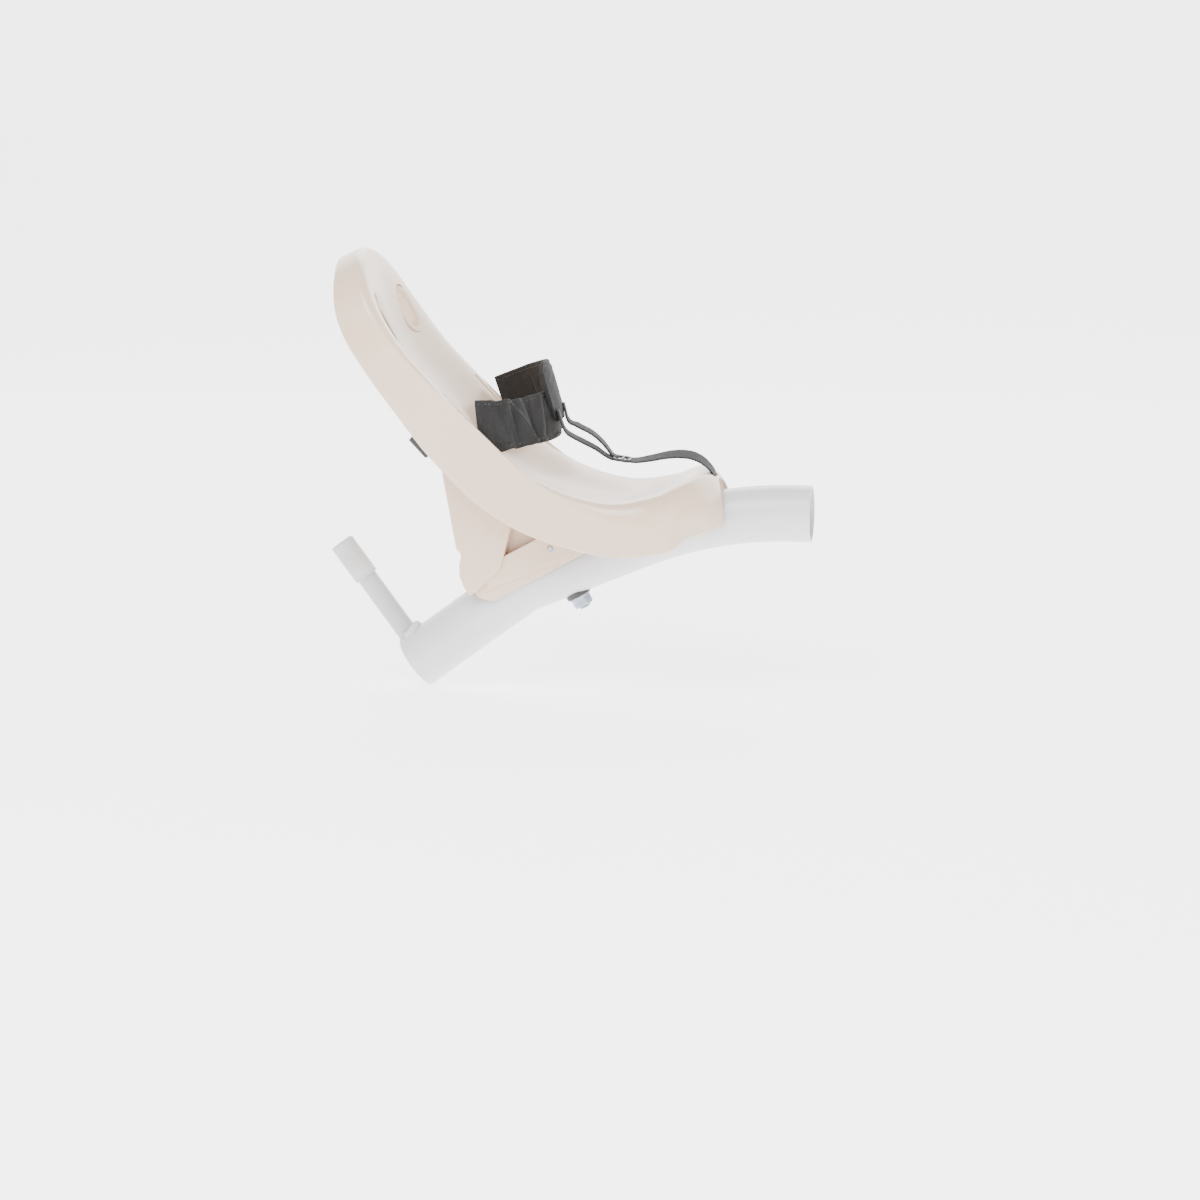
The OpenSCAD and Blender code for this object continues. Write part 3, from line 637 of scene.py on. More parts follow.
def smooth_finish(name, light, dark, rough, fine=900, broad=7, bump_depth=0.00002, coat=0.0, metallic=0.0,
                  worn=None, reach=0.0012):
    """Moulded plastic, paint or plating: a slow drift between two colours, fine grain, and worn edges."""
    material, nodes, links, shader = new_material(name)
    grain = add_group(nodes, GRAIN, Fine_scale=fine, Broad_scale=broad)
    tint = ramp(nodes, [(0.35, dark), (0.65, light)])
    links.new(grain.outputs["Mask"], tint.inputs["Fac"])
    colour = tint.outputs["Color"]
    if worn is not None:
        wear = add_group(nodes, WEAR, Reach=reach, Amount=5.0)
        mix = nodes.new("ShaderNodeMix")
        mix.data_type = "RGBA"
        links.new(wear.outputs["Mask"], mix.inputs["Factor"])
        links.new(colour, mix.inputs[6])
        mix.inputs[7].default_value = (*worn, 1)
        colour = mix.outputs[2]
    links.new(colour, shader.inputs["Base Color"])
    links.new(span(nodes, links, grain.outputs["Mask"], rough[0], rough[1]), shader.inputs["Roughness"])
    shader.inputs["Metallic"].default_value = metallic
    shader.inputs["Coat Weight"].default_value = coat
    shader.inputs["Coat Roughness"].default_value = 0.12
    bump(nodes, links, grain.outputs["Height"], 0.25, bump_depth, shader)
    return material


def cloth_finish(name, light, dark, along, across, depth, sheen=0.25, rough=(0.75, 0.95)):
    """Woven cloth or webbing on the piece's own map, with painted shade in the weave's hollows and a painted
    highlight on its ribs.
    """
    material, nodes, links, shader = new_material(name)
    weave = add_group(nodes, WEAVE, Along=along, Across=across)
    tint = ramp(nodes, [(0.3, dark), (0.7, light)])
    links.new(weave.outputs["Dye"], tint.inputs["Fac"])
    # Painted shade and highlight: the colour is darkened where the weave dips and lightened on its ribs.
    painted_weave_shade_and_highlight = ramp(nodes, [(0.0, (0.62, 0.62, 0.62)), (1.0, (1.1, 1.1, 1.1))])
    links.new(weave.outputs["Height"], painted_weave_shade_and_highlight.inputs["Fac"])
    mix = nodes.new("ShaderNodeMix")
    mix.data_type, mix.blend_type = "RGBA", "MULTIPLY"
    mix.inputs["Factor"].default_value = 1.0
    links.new(tint.outputs["Color"], mix.inputs[6])
    links.new(painted_weave_shade_and_highlight.outputs["Color"], mix.inputs[7])
    links.new(mix.outputs[2], shader.inputs["Base Color"])
    links.new(span(nodes, links, weave.outputs["Dye"], rough[0], rough[1]), shader.inputs["Roughness"])
    shader.inputs["Sheen Weight"].default_value = sheen
    shader.inputs["Sheen Roughness"].default_value = 0.5
    bump(nodes, links, weave.outputs["Height"], 0.6, depth, shader)
    return material


ivory = smooth_finish("ivory_moulding", (0.66, 0.50, 0.375), (0.63, 0.47, 0.345), (0.22, 0.34), fine=1400,
                      coat=0.35, worn=(0.72, 0.58, 0.46))
arm_paint = smooth_finish("arm_powder_coat", (0.60, 0.60, 0.605), (0.56, 0.56, 0.565), (0.30, 0.42),
                          fine=1600, bump_depth=0.00004, coat=0.2, worn=(0.6, 0.6, 0.6))
handle_paint = smooth_finish("handle_paint", (0.42, 0.42, 0.42), (0.38, 0.38, 0.38), (0.32, 0.45),
                             fine=1600, bump_depth=0.00004, coat=0.1)
cap_grey = smooth_finish("cap_plastic", (0.47, 0.46, 0.455), (0.42, 0.415, 0.41), (0.42, 0.55), fine=1100,
                         bump_depth=0.00004, worn=(0.72, 0.72, 0.71))
zinc = smooth_finish("zinc_plate", (0.40, 0.45, 0.53), (0.25, 0.29, 0.36), (0.28, 0.5), fine=700, broad=120,
                     bump_depth=0.00003, metallic=0.9, worn=(0.7, 0.72, 0.76))
black_plastic = smooth_finish("black_plastic", (0.035, 0.034, 0.033), (0.022, 0.021, 0.021), (0.35, 0.5),
                              fine=1300, worn=(0.09, 0.09, 0.09))
belt_cloth = cloth_finish("belt_cloth", (0.0075, 0.0063, 0.0057), (0.004, 0.0035, 0.0032), 5200, 5200,
                          0.00022, 0.04)
binding_cloth = cloth_finish("binding_tape", (0.009, 0.0078, 0.0075), (0.005, 0.0044, 0.0044), 6200, 90,
                             0.0002, 0.03)
webbing = cloth_finish("strap_webbing", (0.020, 0.0195, 0.018), (0.011, 0.0108, 0.010), 4200, 130, 0.0003,
                       0.05)
thread = cloth_finish("stitch_thread", (0.07, 0.065, 0.06), (0.05, 0.045, 0.04), 9000, 40, 0.0001, 0.2)
pile = smooth_finish("hook_and_loop", (0.028, 0.027, 0.026), (0.014, 0.013, 0.013), (0.9, 1.0), fine=2600,
                     bump_depth=0.0008)
floor_paper = smooth_finish("floor_paper", (0.93, 0.93, 0.93), (0.92, 0.92, 0.92), (0.7, 0.75), fine=40,
                            broad=0.5, bump_depth=0.0)
paper_shader = floor_paper.node_tree.nodes["Principled BSDF"]
paper_shader.inputs["Emission Color"].default_value = (1, 1, 1, 1)
paper_shader.inputs["Emission Strength"].default_value = 2.2

# ---------------------------------------------------------------- seat shell
finish_piece(make_shell(), "seat", "ivory_plastic", ivory, "seat_shell")

# ---------------------------------------------------------------- arm, handle and plug
def make_arm():
    """The bent tube: rings carried along the axis outside, over a rounded end, back inside, and closed round
    to the start, so that the bore is open."""
    outer, inner, soft = ARM_R, ARM_R - ARM_WALL, 0.7
    points, slopes = ARM_POINTS, ARM_SLOPES
    turn = np.linspace(0, 2 * PI, 128, endpoint=False)[None, :, None]

    def ring_stack(radius, points, slopes):
        up = np.stack([-np.sin(slopes), 0 * slopes, np.cos(slopes)], -1)
        return points[:, None] + radius * (np.cos(turn) * up[:, None] + np.sin(turn) * ACROSS)

    def corner(radius, way, end, heading, angles):
        return [ring_stack(radius + way * soft * (1 - math.sin(w)),
                           points[end] - heading * soft * (1 - math.cos(w)), slopes[end]) for w in angles]

    start, stop, head = slice(0, 1), slice(-1, None), np.array([1.0, 0, 0])
    rounding = np.linspace(0, PI / 2, 5)
    rings = corner(outer, -1, start, head, rounding) + [ring_stack(outer, points[1:-1], slopes[1:-1])]
    rings += corner(outer, -1, stop, BACK, rounding[::-1]) + corner(inner, 1, stop, BACK, rounding)
    rings += [ring_stack(inner, points[1:-1][::-1], slopes[1:-1][::-1])]
    rings += corner(inner, 1, start, head, rounding[::-1])
    rings = np.concatenate(rings) * MM
    return tidy_mesh(mesh_object("arm_skin", rings, grid_faces(len(rings), rings.shape[1], True, True)),
                     1e-7, 50)


finish_piece(make_arm(), "arm", "arm_paint", arm_paint, "arm_tube")

UP = np.array([-math.sin(TAIL_SLOPE), 0, math.cos(TAIL_SLOPE)])
HANDLE_R, HANDLE_LEN, CAP_LEN, CAP_R = 12.7, 178.0, 54.0, 15.5
FOOT = TAIL - HANDLE_R * BACK

plug_profile = [(0, 0), (26, 0), (30, 0.4), (31.6, 1.6), (32, 3), (32, 16), (29, 16), (29, 4), (0, 3.4)]
plug = revolved("plug_skin", np.array(plug_profile) * MM, TAIL * MM, -BACK, 96)
finish_piece(plug, "arm", "arm_paint", arm_paint, "arm_end_plug")


def arc(radius_from, height_from, radius_to, height_to, bulge, steps=6):
    """Points of a quarter round between two (radius, height) corners, hollow or full by bulge."""
    t = np.linspace(0, PI / 2, steps)
    s, c = (np.sin(t), 1 - np.cos(t)) if bulge else (1 - np.cos(t), np.sin(t))
    return np.stack([radius_from + (radius_to - radius_from) * s,
                     height_from + (height_to - height_from) * c], -1)


def make_handle():
    """The handle tube: a thin-walled pipe from the arm's skin up to the cap's roof."""
    profile = [(10.7, 31), (12.7, 31), (12.7, 60), (12.7, 120), (12.7, HANDLE_LEN - 3),
               (12.2, HANDLE_LEN - 2.8), (10.7, HANDLE_LEN - 2.8), (10.7, 31)]
    return revolved("handle_skin", np.array(profile) * MM, FOOT * MM, UP, 96)


finish_piece(make_handle(), "arm", "handle_paint", handle_paint, "handle_tube")


def make_cap():
    """The handle's cap: a sleeve with a beaded mouth, shallow grip rings and a domed, rounded top."""
    base = HANDLE_LEN - CAP_LEN
    rows = [(12.75, base), (15.0, base), (15.45, base + 0.5), (CAP_R, base + 1.5), (CAP_R, base + 3.2),
            (15.0, base + 4.0), (15.0, base + 4.6), (CAP_R, base + 5.2)]
    for k in range(3):
        h = base + 40 + 3.2 * k
        rows += [(CAP_R, h), (15.1, h + 0.5), (15.1, h + 1.0), (CAP_R, h + 1.5)]
    rows += list(map(tuple, arc(CAP_R, HANDLE_LEN - 3, 12.0, HANDLE_LEN - 0.4, False, 9)))
    rows += [(8, HANDLE_LEN - 0.1), (0, HANDLE_LEN)]
    rows += [(0, HANDLE_LEN - 2.6), (12.75, HANDLE_LEN - 2.6), (12.75, base)]
    return revolved("cap_skin", np.array(rows) * MM, FOOT * MM, UP, 96)


finish_piece(make_cap(), "arm", "grey_plastic", cap_grey, "handle_cap")


def make_weld():
    """The weld bead: a round worm laid where handle and arm meet, with overlapping ripples along it. It stops
    at the arm's flush end. Each angle round the handle gives the seam's height on the arm's round back."""
    w = np.linspace(math.radians(-94), math.radians(94), 420)
    ahead = -BACK
    radius = HANDLE_R + 2.2
    x, y = radius * np.cos(w), radius * np.sin(w)
    seam = np.sqrt(ARM_R ** 2 - y ** 2)
    path = FOOT + x[:, None] * ahead + y[:, None] * ACROSS + (seam + 1.8)[:, None] * UP
    size = 1 + 0.10 * np.abs(np.sin(w * 34)) + 0.03 * np.sin(w * 11)
    size[:8] *= np.linspace(0.3, 1, 8)
    size[-8:] *= np.linspace(1, 0.3, 8)
    radial = np.cos(w)[:, None] * ahead + np.sin(w)[:, None] * ACROSS
    return tidy_mesh(swept("weld_bead", path * MM, radial, circle_points(5.2, 20) * MM, scale=size), 1e-7, 60)


finish_piece(make_weld(), "arm", "arm_paint", arm_paint, "handle_weld")

# ---------------------------------------------------------------- straps and belt
def strap(name, stations, thickness, node):
    """Flat webbing: a rounded thin profile carried along smoothed stations of (point, width direction,
    width), its map in metres along and across."""
    points = np.array([s[0] for s in stations], float)
    widths = np.array([s[1] for s in stations], float)
    broad = np.array([s[2] for s in stations], float)
    run = run_lengths(points)
    t = np.linspace(0, run[-1], max(24, int(run[-1] / 2.5)))
    path = np.stack([smooth_lookup(t, run, points[:, k]) for k in range(3)], -1)
    side = np.stack([np.interp(t, run, widths[:, k]) for k in range(3)], -1)
    wide = np.interp(t, run, broad)
    half = thickness / 2
    u = np.linspace(-1, 1, 24)
    turn = np.linspace(-PI / 2, PI / 2, 6)[1:-1]
    one = np.stack([u, 0 * u + 1], -1)
    two = np.stack([1 + 0 * turn, -np.sin(turn)], -1)
    three = np.stack([-u, 0 * u - 1], -1)
    four = np.stack([-1 + 0 * turn, np.sin(turn)], -1)
    prof = np.concatenate([one, two, three, four])
    bulge = np.concatenate([0 * u, np.cos(turn), 0 * u, -np.cos(turn)])
    ahead = unit_rows(np.gradient(path, axis=0))
    side = squared(side, ahead)
    off = np.cross(ahead, side)
    x = prof[None, :, 0] * (wide[:, None] / 2 - half) + bulge[None] * half
    grid = path[:, None] + side[:, None] * x[..., None] + off[:, None] * (prof[None, :, 1:] * half)
    uv = np.stack(np.broadcast_arrays(t[:, None] * MM, x * MM), -1)
    piece = tidy_mesh(mesh_object(name, grid * MM, capped_faces(len(path), len(prof)), uv), 1e-8, 60)
    finish_piece(piece, "seat", "webbing", webbing, node)


BELT_ROOT, BELT_WIDTH = (-406.0, 119.0), 66.0
# Each half of the belt: reach to the front, upward slope of its loop, width, how far down its slot it sits
LEFT_HALF, RIGHT_HALF = (88.0, math.radians(19), 74.0, 0.0), (75.0, math.radians(6), 58.0, 11.0)


def belt_point(angle, half):
    """A place on a belt half's middle line, by its angle round the loop."""
    f = np.sin(angle) * half[0]
    root = BELT_ROOT + half[3] * rim_dir(np.array(SLOT_STATION))
    return np.stack([root[0] + f * math.cos(half[1]),
                     SLOT_ACROSS * np.cos(angle) * (1 + 0.02 * np.sin(angle)),
                     root[1] + f * math.sin(half[1])], -1)


def belt_width_dir(angle):
    """The belt's width direction, steeper towards the front of the loop."""
    w = np.radians(45 + 31 * np.sin(angle) ** 2)
    return np.stack([-np.cos(w), 0 * w, np.sin(w)], -1)


def belt_frame(start, end, half, n=150):
    """The belt's middle line from start to end, its width direction, its outward direction, width and run."""
    g = np.linspace(start, end, n)
    path, side = belt_point(g, half), belt_width_dir(g)
    ahead = unit_rows(np.gradient(path, axis=0))
    side = squared(side, ahead)
    off = np.cross(ahead, side)
    off *= np.sign(np.sum(off * (path - [BELT_ROOT[0] - 60, 0, BELT_ROOT[1]]), -1, keepdims=True))
    share = np.minimum(1, np.abs(np.sin(g)) * 1.6)
    width = BELT_WIDTH * (1 - share) + half[2] * share
    return path, side, off, width, run_lengths(path)


def end_trim(run):
    """How much narrower each side of a half gets at its free end, whose corners are rounded."""
    corner = np.clip((run[-1] - run) / 12.0, 0, 1)
    return 12 * (1 - np.sqrt(np.clip(1 - (1 - corner) ** 2, 0, 1)))


def make_belt(name, start, end, half, thick, folds):
    """A padded band as a closed grid: along the loop, and round its section, which is thin at both edges.
    folds gives the band's stand-off at each run and each place across."""
    path, side, off, width, run = belt_frame(start, end, half)
    across = 30
    v = np.linspace(-1, 1, across)
    loop_v = np.concatenate([v, v[::-1][1:-1]])
    face = np.concatenate([np.ones(across), -np.ones(across - 2)])
    crown = 0.35 + 0.65 * np.sqrt(np.clip(1 - np.abs(loop_v) ** 6, 0, 1))
    x = loop_v[None] * (width / 2 - end_trim(run))[:, None]
    points = path[:, None] + side[:, None] * x[..., None] + off[:, None] * (
        thick / 2 * (crown * face)[None] + folds(run[:, None], x))[..., None]
    uv = np.stack(np.broadcast_arrays(run[:, None] * MM, x * MM), -1)
    return mesh_object(name, points * MM, capped_faces(len(path), len(loop_v)), uv)


def far_folds(run, across):
    """The far half is stiff and nearly smooth: a slow sag between its edges."""
    return 0.9 * np.sin(run / 19.0 + 0.4) * (1 - (across / 40) ** 2)


def near_folds(run, across):
    """Folds of the slack near half: a sharp pleat, a V of two ridges, and small ripples by the slot."""
    pleat = (4.6 * np.exp(-((run - 38 - 0.10 * across) / 4.5) ** 2)
             - 3.4 * np.exp(-((run - 48 - 0.15 * across) / 6) ** 2))
    ridges = (5.2 * np.exp(-((run - 66 + 0.40 * (across + 18)) / 5) ** 2)
              + 5.0 * np.exp(-((run - 84 - 0.34 * (across + 18)) / 6) ** 2))
    valley = -4.2 * np.exp(-((run - 75) / 6) ** 2)
    ripple = 2.0 * np.sin(run / 3.4 + 0.07 * across) * np.exp(-((run - 20) / 13) ** 2)
    return (pleat + ridges + valley + ripple) * np.clip((112 - run) / 12, 0, 1)


def puffed(piece, grow, most):
    """Blows the sewn cover up as cloth with its edges held, cloth larger than its pattern by grow, and keeps
    each point within most metres of where it started."""
    scene = bpy.context.scene
    start = np.array([v.co for v in piece.data.vertices])
    group = piece.vertex_groups.new(name="held")
    shape = np.array([d.uv for d in piece.data.uv_layers[0].data])
    place = {}
    for loop, uv in zip(piece.data.loops, shape):
        place[loop.vertex_index] = uv
    top = max(abs(uv[1]) for uv in place.values())
    far = max(uv[0] for uv in place.values())
    held = [i for i, uv in place.items() if abs(uv[1]) > top * 0.86 or uv[0] < 0.006 or uv[0] > far - 0.006]
    group.add(held, 1.0, "REPLACE")
    cloth = piece.modifiers.new("cloth", "CLOTH")
    set_up = cloth.settings
    set_up.quality, set_up.mass = 6, 0.15
    set_up.tension_stiffness = set_up.compression_stiffness = 12
    set_up.bending_stiffness = 0.25
    set_up.use_pressure, set_up.uniform_pressure_force = True, 4.0
    set_up.shrink_min = -grow
    set_up.vertex_group_mass = "held"
    set_up.effector_weights.gravity = 0.0
    cloth.collision_settings.use_self_collision = False
    cloth.point_cache.frame_start, cloth.point_cache.frame_end = 1, 20
    for step in range(1, 21):
        scene.frame_set(step)
    solved = piece.evaluated_get(bpy.context.evaluated_depsgraph_get()).to_mesh()
    end = np.array([v.co for v in solved.vertices])
    piece.modifiers.remove(cloth)
    scene.frame_set(1)
    move = end - start
    length = np.linalg.norm(move, axis=1, keepdims=True)
    move *= np.tanh(length / most) * most / np.maximum(length, 1e-9)
    piece.data.vertices.foreach_set("co", (start + move).ravel())
    piece.data.update()
    return piece


def stitches(name, places, ahead, off, long=2.6, fat=0.42):
    """A row of thread stitches, each a bead lying along ahead and half sunk along off, in millimetres."""
    rings, around = 7, 8
    u = np.linspace(0, PI, rings)
    w = np.linspace(0, 2 * PI, around, endpoint=False)
    bead = np.stack([np.cos(u)[:, None] + 0 * w, np.sin(u)[:, None] * np.cos(w),
                     np.sin(u)[:, None] * np.sin(w)], -1)
    ahead, side, off = (v[:, None, None] for v in (ahead, np.cross(off, ahead), off))
    points = (places[:, None, None] + ahead * bead[..., :1] * long / 2 + side * bead[..., 1:2] * fat
              + off * bead[..., 2:] * fat)
    one = grid_faces(rings, around, False, True)
    faces = [[i + rings * around * k for i in f] for k in range(len(places)) for f in one]
    piece = tidy_mesh(mesh_object(name, points.reshape(-1, 3) * MM, faces), 1e-8, 80)
    finish_piece(piece, "seat", "belt_cloth", thread)


def belt_trim(name, start, end, half, thick, folds):
    """Binding tape folded over both long edges of a belt half, with a row of stitches along each."""
    path, side, off, width, run = belt_frame(start, end, half, 220)
    for word, way in (("upper", 1), ("lower", -1)):
        x = way * (width / 2 - 0.6) - way * end_trim(run)
        lift = folds(run, x)
        edge = path + side * x[:, None] + off * lift[:, None]
        turn = np.linspace(0, 2 * PI, 20, endpoint=False)
        profile = np.stack([3.4 * np.cos(turn) - way * 1.6, (thick * 0.32 + 0.5) * np.sin(turn)], -1)
        tape = swept("%s_%s_binding" % (name, word), edge * MM, side, profile * MM)
        finish_piece(tidy_mesh(tape, 1e-8, 70), "seat", "belt_cloth", binding_cloth)
        ahead = unit_rows(np.gradient(edge, axis=0))
        spots = np.searchsorted(run, np.arange(4, run[-1] - 3, 4.2))
        for face in (1, -1):
            rows = edge[spots] - side[spots] * way * 3.4 + off[spots] * face * (thick * 0.30 + 0.55)
            label = "%s_%s_stitches_%s" % (name, word, "out" if face > 0 else "in")
            stitches(label, rows, ahead[spots], off[spots])


lap = math.radians(15)
for name, start, end, half, folds, grow in (
        ("belt_left", 0.0, PI / 2 + lap, LEFT_HALF, far_folds, 0.01),
        ("belt_right", PI, PI / 2 - lap, RIGHT_HALF, near_folds, 0.05)):
    pad = tidy_mesh(make_belt(name + "_pad", start, end, half, 5.0, folds), 1e-7, 80)
    puffed(pad, grow, 0.0022)
    finish_piece(pad, "seat", "belt_cloth", belt_cloth, name)
    belt_trim(name, start, end, half, 5.0, folds)

LEFT_RUN = [[-314.3, 22, 130], [-311.5, 21.5, 120], [-309.3, 21, 112], [-305, 19.5, 106.5], [-297, 17, 103.5],
            [-289, 14, 100], [-278, 12, 95], [-268.6, 10, 88.5], [-260, 8, 80.5], [-254, 6, 73.5],
            [-249, 4.6, 68], [-241, 3.0, 65.2]]
RIGHT_RUN = [[-313.2, -22, 126], [-309.8, -21.5, 114], [-306.8, -21, 105], [-303, -19.5, 98.5],
             [-295, -16, 92.5], [-286, -13.5, 87.5], [-276.7, -11, 82.5], [-267, -9, 77],
             [-258.3, -7, 70.5], [-249, -5, 65], [-241, -3.0, 63.6]]
for word, run in (("left", LEFT_RUN), ("right", RIGHT_RUN)):
    lean = [0.16 * math.sin(PI * i / (len(run) - 1)) for i in range(len(run))]
    rows = [(p, (-0.12, 1, t), 20 - abs(p[1]) * 0.1) for p, t in zip(run, lean)]
    strap("crotch_branch_%s_web" % word, rows, 2.6, "crotch_branch_" + word)
STRAP_RUN = [[-231, 62.6], [-222, 62], [-201, 65], [-180, 69.5], [-162, 71], [-146, 68.5], [-134, 62],
             [-127, 55.5], [-122.8, 50], [-121.8, 46], [-123.8, 42.4], [-130, 41.2], [-137, 41.2]]
twist = [0, 0.1, 0.2, 0.26, 0.28, 0.26, 0.2, 0.12, 0.05, 0, 0, 0, 0]
rows = [((p[0], 0, p[1]), (0, 1, t), 25) for p, t in zip(STRAP_RUN, twist)]
strap("crotch_strap_web", rows, 2.2, "crotch_strap")

REAR, REAR_WIDE = 224.0, 30.0
REAR_RUN = [[104, -8], [107, -26], [108, -46], [106, -62], [99, -71], [84, -75], [56, -77], [24, -80],
            [0, -81]]
rear = REAR_RUN + [[-p[0], p[1]] for p in REAR_RUN[-2::-1]]
rear_dir = rim_dir(np.array(REAR))
rows = [(seat_point(REAR, p[0], p[1]) / MM, (-rear_dir[0], 0, -rear_dir[1]), REAR_WIDE) for p in rear]
strap("rear_strap_web", rows, 2.0, "rear_strap")


def ladder_lock(name, centre, ex, ey, long, wide, thick, node):
    """A three-bar slider: a round-edged frame swept round a rounded rectangle, with a round bar across."""
    centre, ex, ey = (np.asarray(v, float) for v in (centre, ex, ey))
    ex, ey = unit_rows(ex), unit_rows(ey)
    bar = long / 6
    ring = rounded_rectangle(long - bar, wide - bar, bar * 0.8, 8)
    path = centre + ring[:, :1] * ex + ring[:, 1:] * ey
    ahead = unit_rows(np.roll(path, -1, 0) - np.roll(path, 1, 0))
    normal = np.cross(ex, ey)
    turn = np.linspace(0, 2 * PI, 24, endpoint=False)
    squash = (np.abs(np.cos(turn)) ** 3 + np.abs(np.sin(turn)) ** 3) ** (-1 / 3)
    profile = np.stack([bar / 2 * np.cos(turn) * squash, thick / 2 * np.sin(turn) * squash], -1) * MM
    frame_part = swept(name + "_frame", path * MM, np.cross(normal, ahead), profile, closed=True)
    finish_piece(tidy_mesh(frame_part, 1e-8, 60), "seat", "black_plastic", black_plastic, node)
    v = np.linspace(-1, 1, 12)[:, None]
    line = centre + ey * v * (wide / 2 - bar * 0.6)
    cross_bar = swept(name + "_bar", line * MM, np.broadcast_to(ex, (12, 3)), profile * 0.9)
    finish_piece(tidy_mesh(cross_bar, 1e-8, 60), "seat", "black_plastic", black_plastic)


tip = math.radians(8)
ladder_lock("crotch_slider", (-236, 0, 63.6), (math.cos(tip), 0, -math.sin(tip)), (0, 1, 0), 22, 33, 4,
            "crotch_slider")
ladder_lock("crotch_retainer", (-133, 0, 43.7), (1, 0, 0), (0, 1, 0), 10, 37, 2.2, "crotch_retainer")
origin, ex, ey, ez = face_frame(REAR, 0, -84.2)
ladder_lock("rear_slider", origin / MM, ey, ex, 24, REAR_WIDE + 8, 3, "rear_slider")


# ---------------------------------------------------------------- port bezels, leg and shoe
def make_bezel(side):
    """An oval grommet: a rounded lip section carried round a stadium, tilted with the hollow's side."""
    origin, ex, ey, ez = port_frame(side)
    w = np.linspace(0, 2 * PI, 120, endpoint=False)
    bend = np.linspace(0, PI / 2, 7)
    lip = np.concatenate([[[-3, -9]], np.stack([-1.4 - 1.6 * np.cos(bend), 2.0 + 1.6 * np.sin(bend)], -1),
                          np.stack([3.3 + 1.2 * np.sin(bend), 2.4 + 1.2 * np.cos(bend)], -1),
                          [[4.5, 1.6], [-0.4, 1.6], [-0.4, -9]]])
    radius, half_run = PORT["wide"] / 2, (PORT["long"] - PORT["wide"]) / 2
    straight = np.where(np.cos(w) >= 0, half_run, -half_run)
    x = straight[:, None] + (radius + lip[None, :, 0]) * np.cos(w)[:, None]
    y = (radius + lip[None, :, 0]) * np.sin(w)[:, None]
    points = origin + (x[..., None] * ex + y[..., None] * ey + lip[None, :, 1, None] * ez) * MM
    return tidy_mesh(mesh_object("port_bezel_skin_%s" % ("left" if side > 0 else "right"), points,
                                 grid_faces(len(w), len(lip), True, True)), 1e-8, 50)


for side, word in ((1, "left"), (-1, "right")):
    finish_piece(make_bezel(side), "seat", "ivory_plastic", ivory, "port_bezel_" + word)

LEAN = SLIDE_SLOPE - BOLT_SLOPE
PLATE_LOW = ARM_R + (ARM_RUN[1][0] - BOLT_INSET) * math.sin(LEAN) + 120 * (1 - math.cos(LEAN)) + 2.5
PLATE_TOP = PLATE_LOW + 4


def round_edges(piece, width, angle=None):
    """Rounds a piece's sharp edges by width in millimetres; angle says how sharp, when it is given."""
    rounding = piece.modifiers.new("rounding", "BEVEL")
    rounding.width, rounding.segments, rounding.limit_method = width * MM, 3, "ANGLE"
    if angle:
        rounding.angle_limit = math.radians(angle)
    rounding.harden_normals = True


def on_slide(x, z):
    """Side-view pair of a place in the slide's frame, in millimetres."""
    p = BOLT + x * SLIDE_UP + z * SLIDE_OFF
    return [p[0], p[2]]


def slide_box(name, low, high):
    """A box in the slide's frame between two corners, in millimetres."""
    low, high = np.array(low, float), np.array(high, float)
    mid, size = (low + high) / 2, high - low
    corners = np.array([[-1, -1], [1, -1], [1, 1], [-1, 1]]) * size[:2] / 2
    place = slide_point(mid[0], mid[1], 0.0)
    return prism(name, corners, place, SLIDE_UP, ACROSS, SLIDE_OFF, low[2], high[2])


def under_dish(stations, gap=1.5):
    """Side-view pairs just under the hollow's middle."""
    d = rim_dir(stations)
    return rim_at(stations) - (dish_depth(stations) + 4 + gap)[:, None] * np.stack([-d[:, 1], d[:, 0]], -1)


def leg_block(name, outline_points, half, edge, *nodes):
    """A moulded block of the leg: a side outline carried across by half each way, cut clear of the arm's room
    and the bolt's head, its edges rounded by edge."""
    cutters = [slide_box("slide_cutter", (-300, -40.8, -200), (300, 40.8, PLATE_TOP + 0.3)),
               slide_box("bolt_cutter", (-22, -19, PLATE_TOP - 1), (67, 19, PLATE_TOP + 16))]
    ex, ey, ez = np.eye(3)
    block = cut_away(prism(name, outline_points, np.zeros(3), ex, ez, -ey, -half, half), cutters)
    tidy_mesh(block, 1e-6, 30, outward=False)
    round_edges(block, edge, 35)
    finish_piece(block, "seat", "ivory_plastic", ivory, *nodes)


leg_side = np.concatenate([[[-438, -47], [-431.5, -54], [-434, -68], [-434, -81], [-429, -94], [-421, -107],
                            [-382, -72], [-369, -20]], under_dish(np.arange(181, 314, 12.0))[::-1]])
web_side = np.concatenate([[on_slide(-80, PLATE_TOP), on_slide(60, PLATE_TOP)],
                           under_dish(np.arange(273, 380, 12.0))[::-1]])
flange_side = np.array([on_slide(-88, 24), on_slide(22, 14), on_slide(56, 30), on_slide(66, PLATE_LOW),
                        on_slide(66, PLATE_TOP + 5), on_slide(-88, PLATE_TOP + 5)])
leg_block("leg_post", leg_side, 50, 3.0, "support_leg")
leg_block("leg_web", web_side, 26, 1.5)
leg_block("leg_flange", flange_side, 44.5, 1.6)


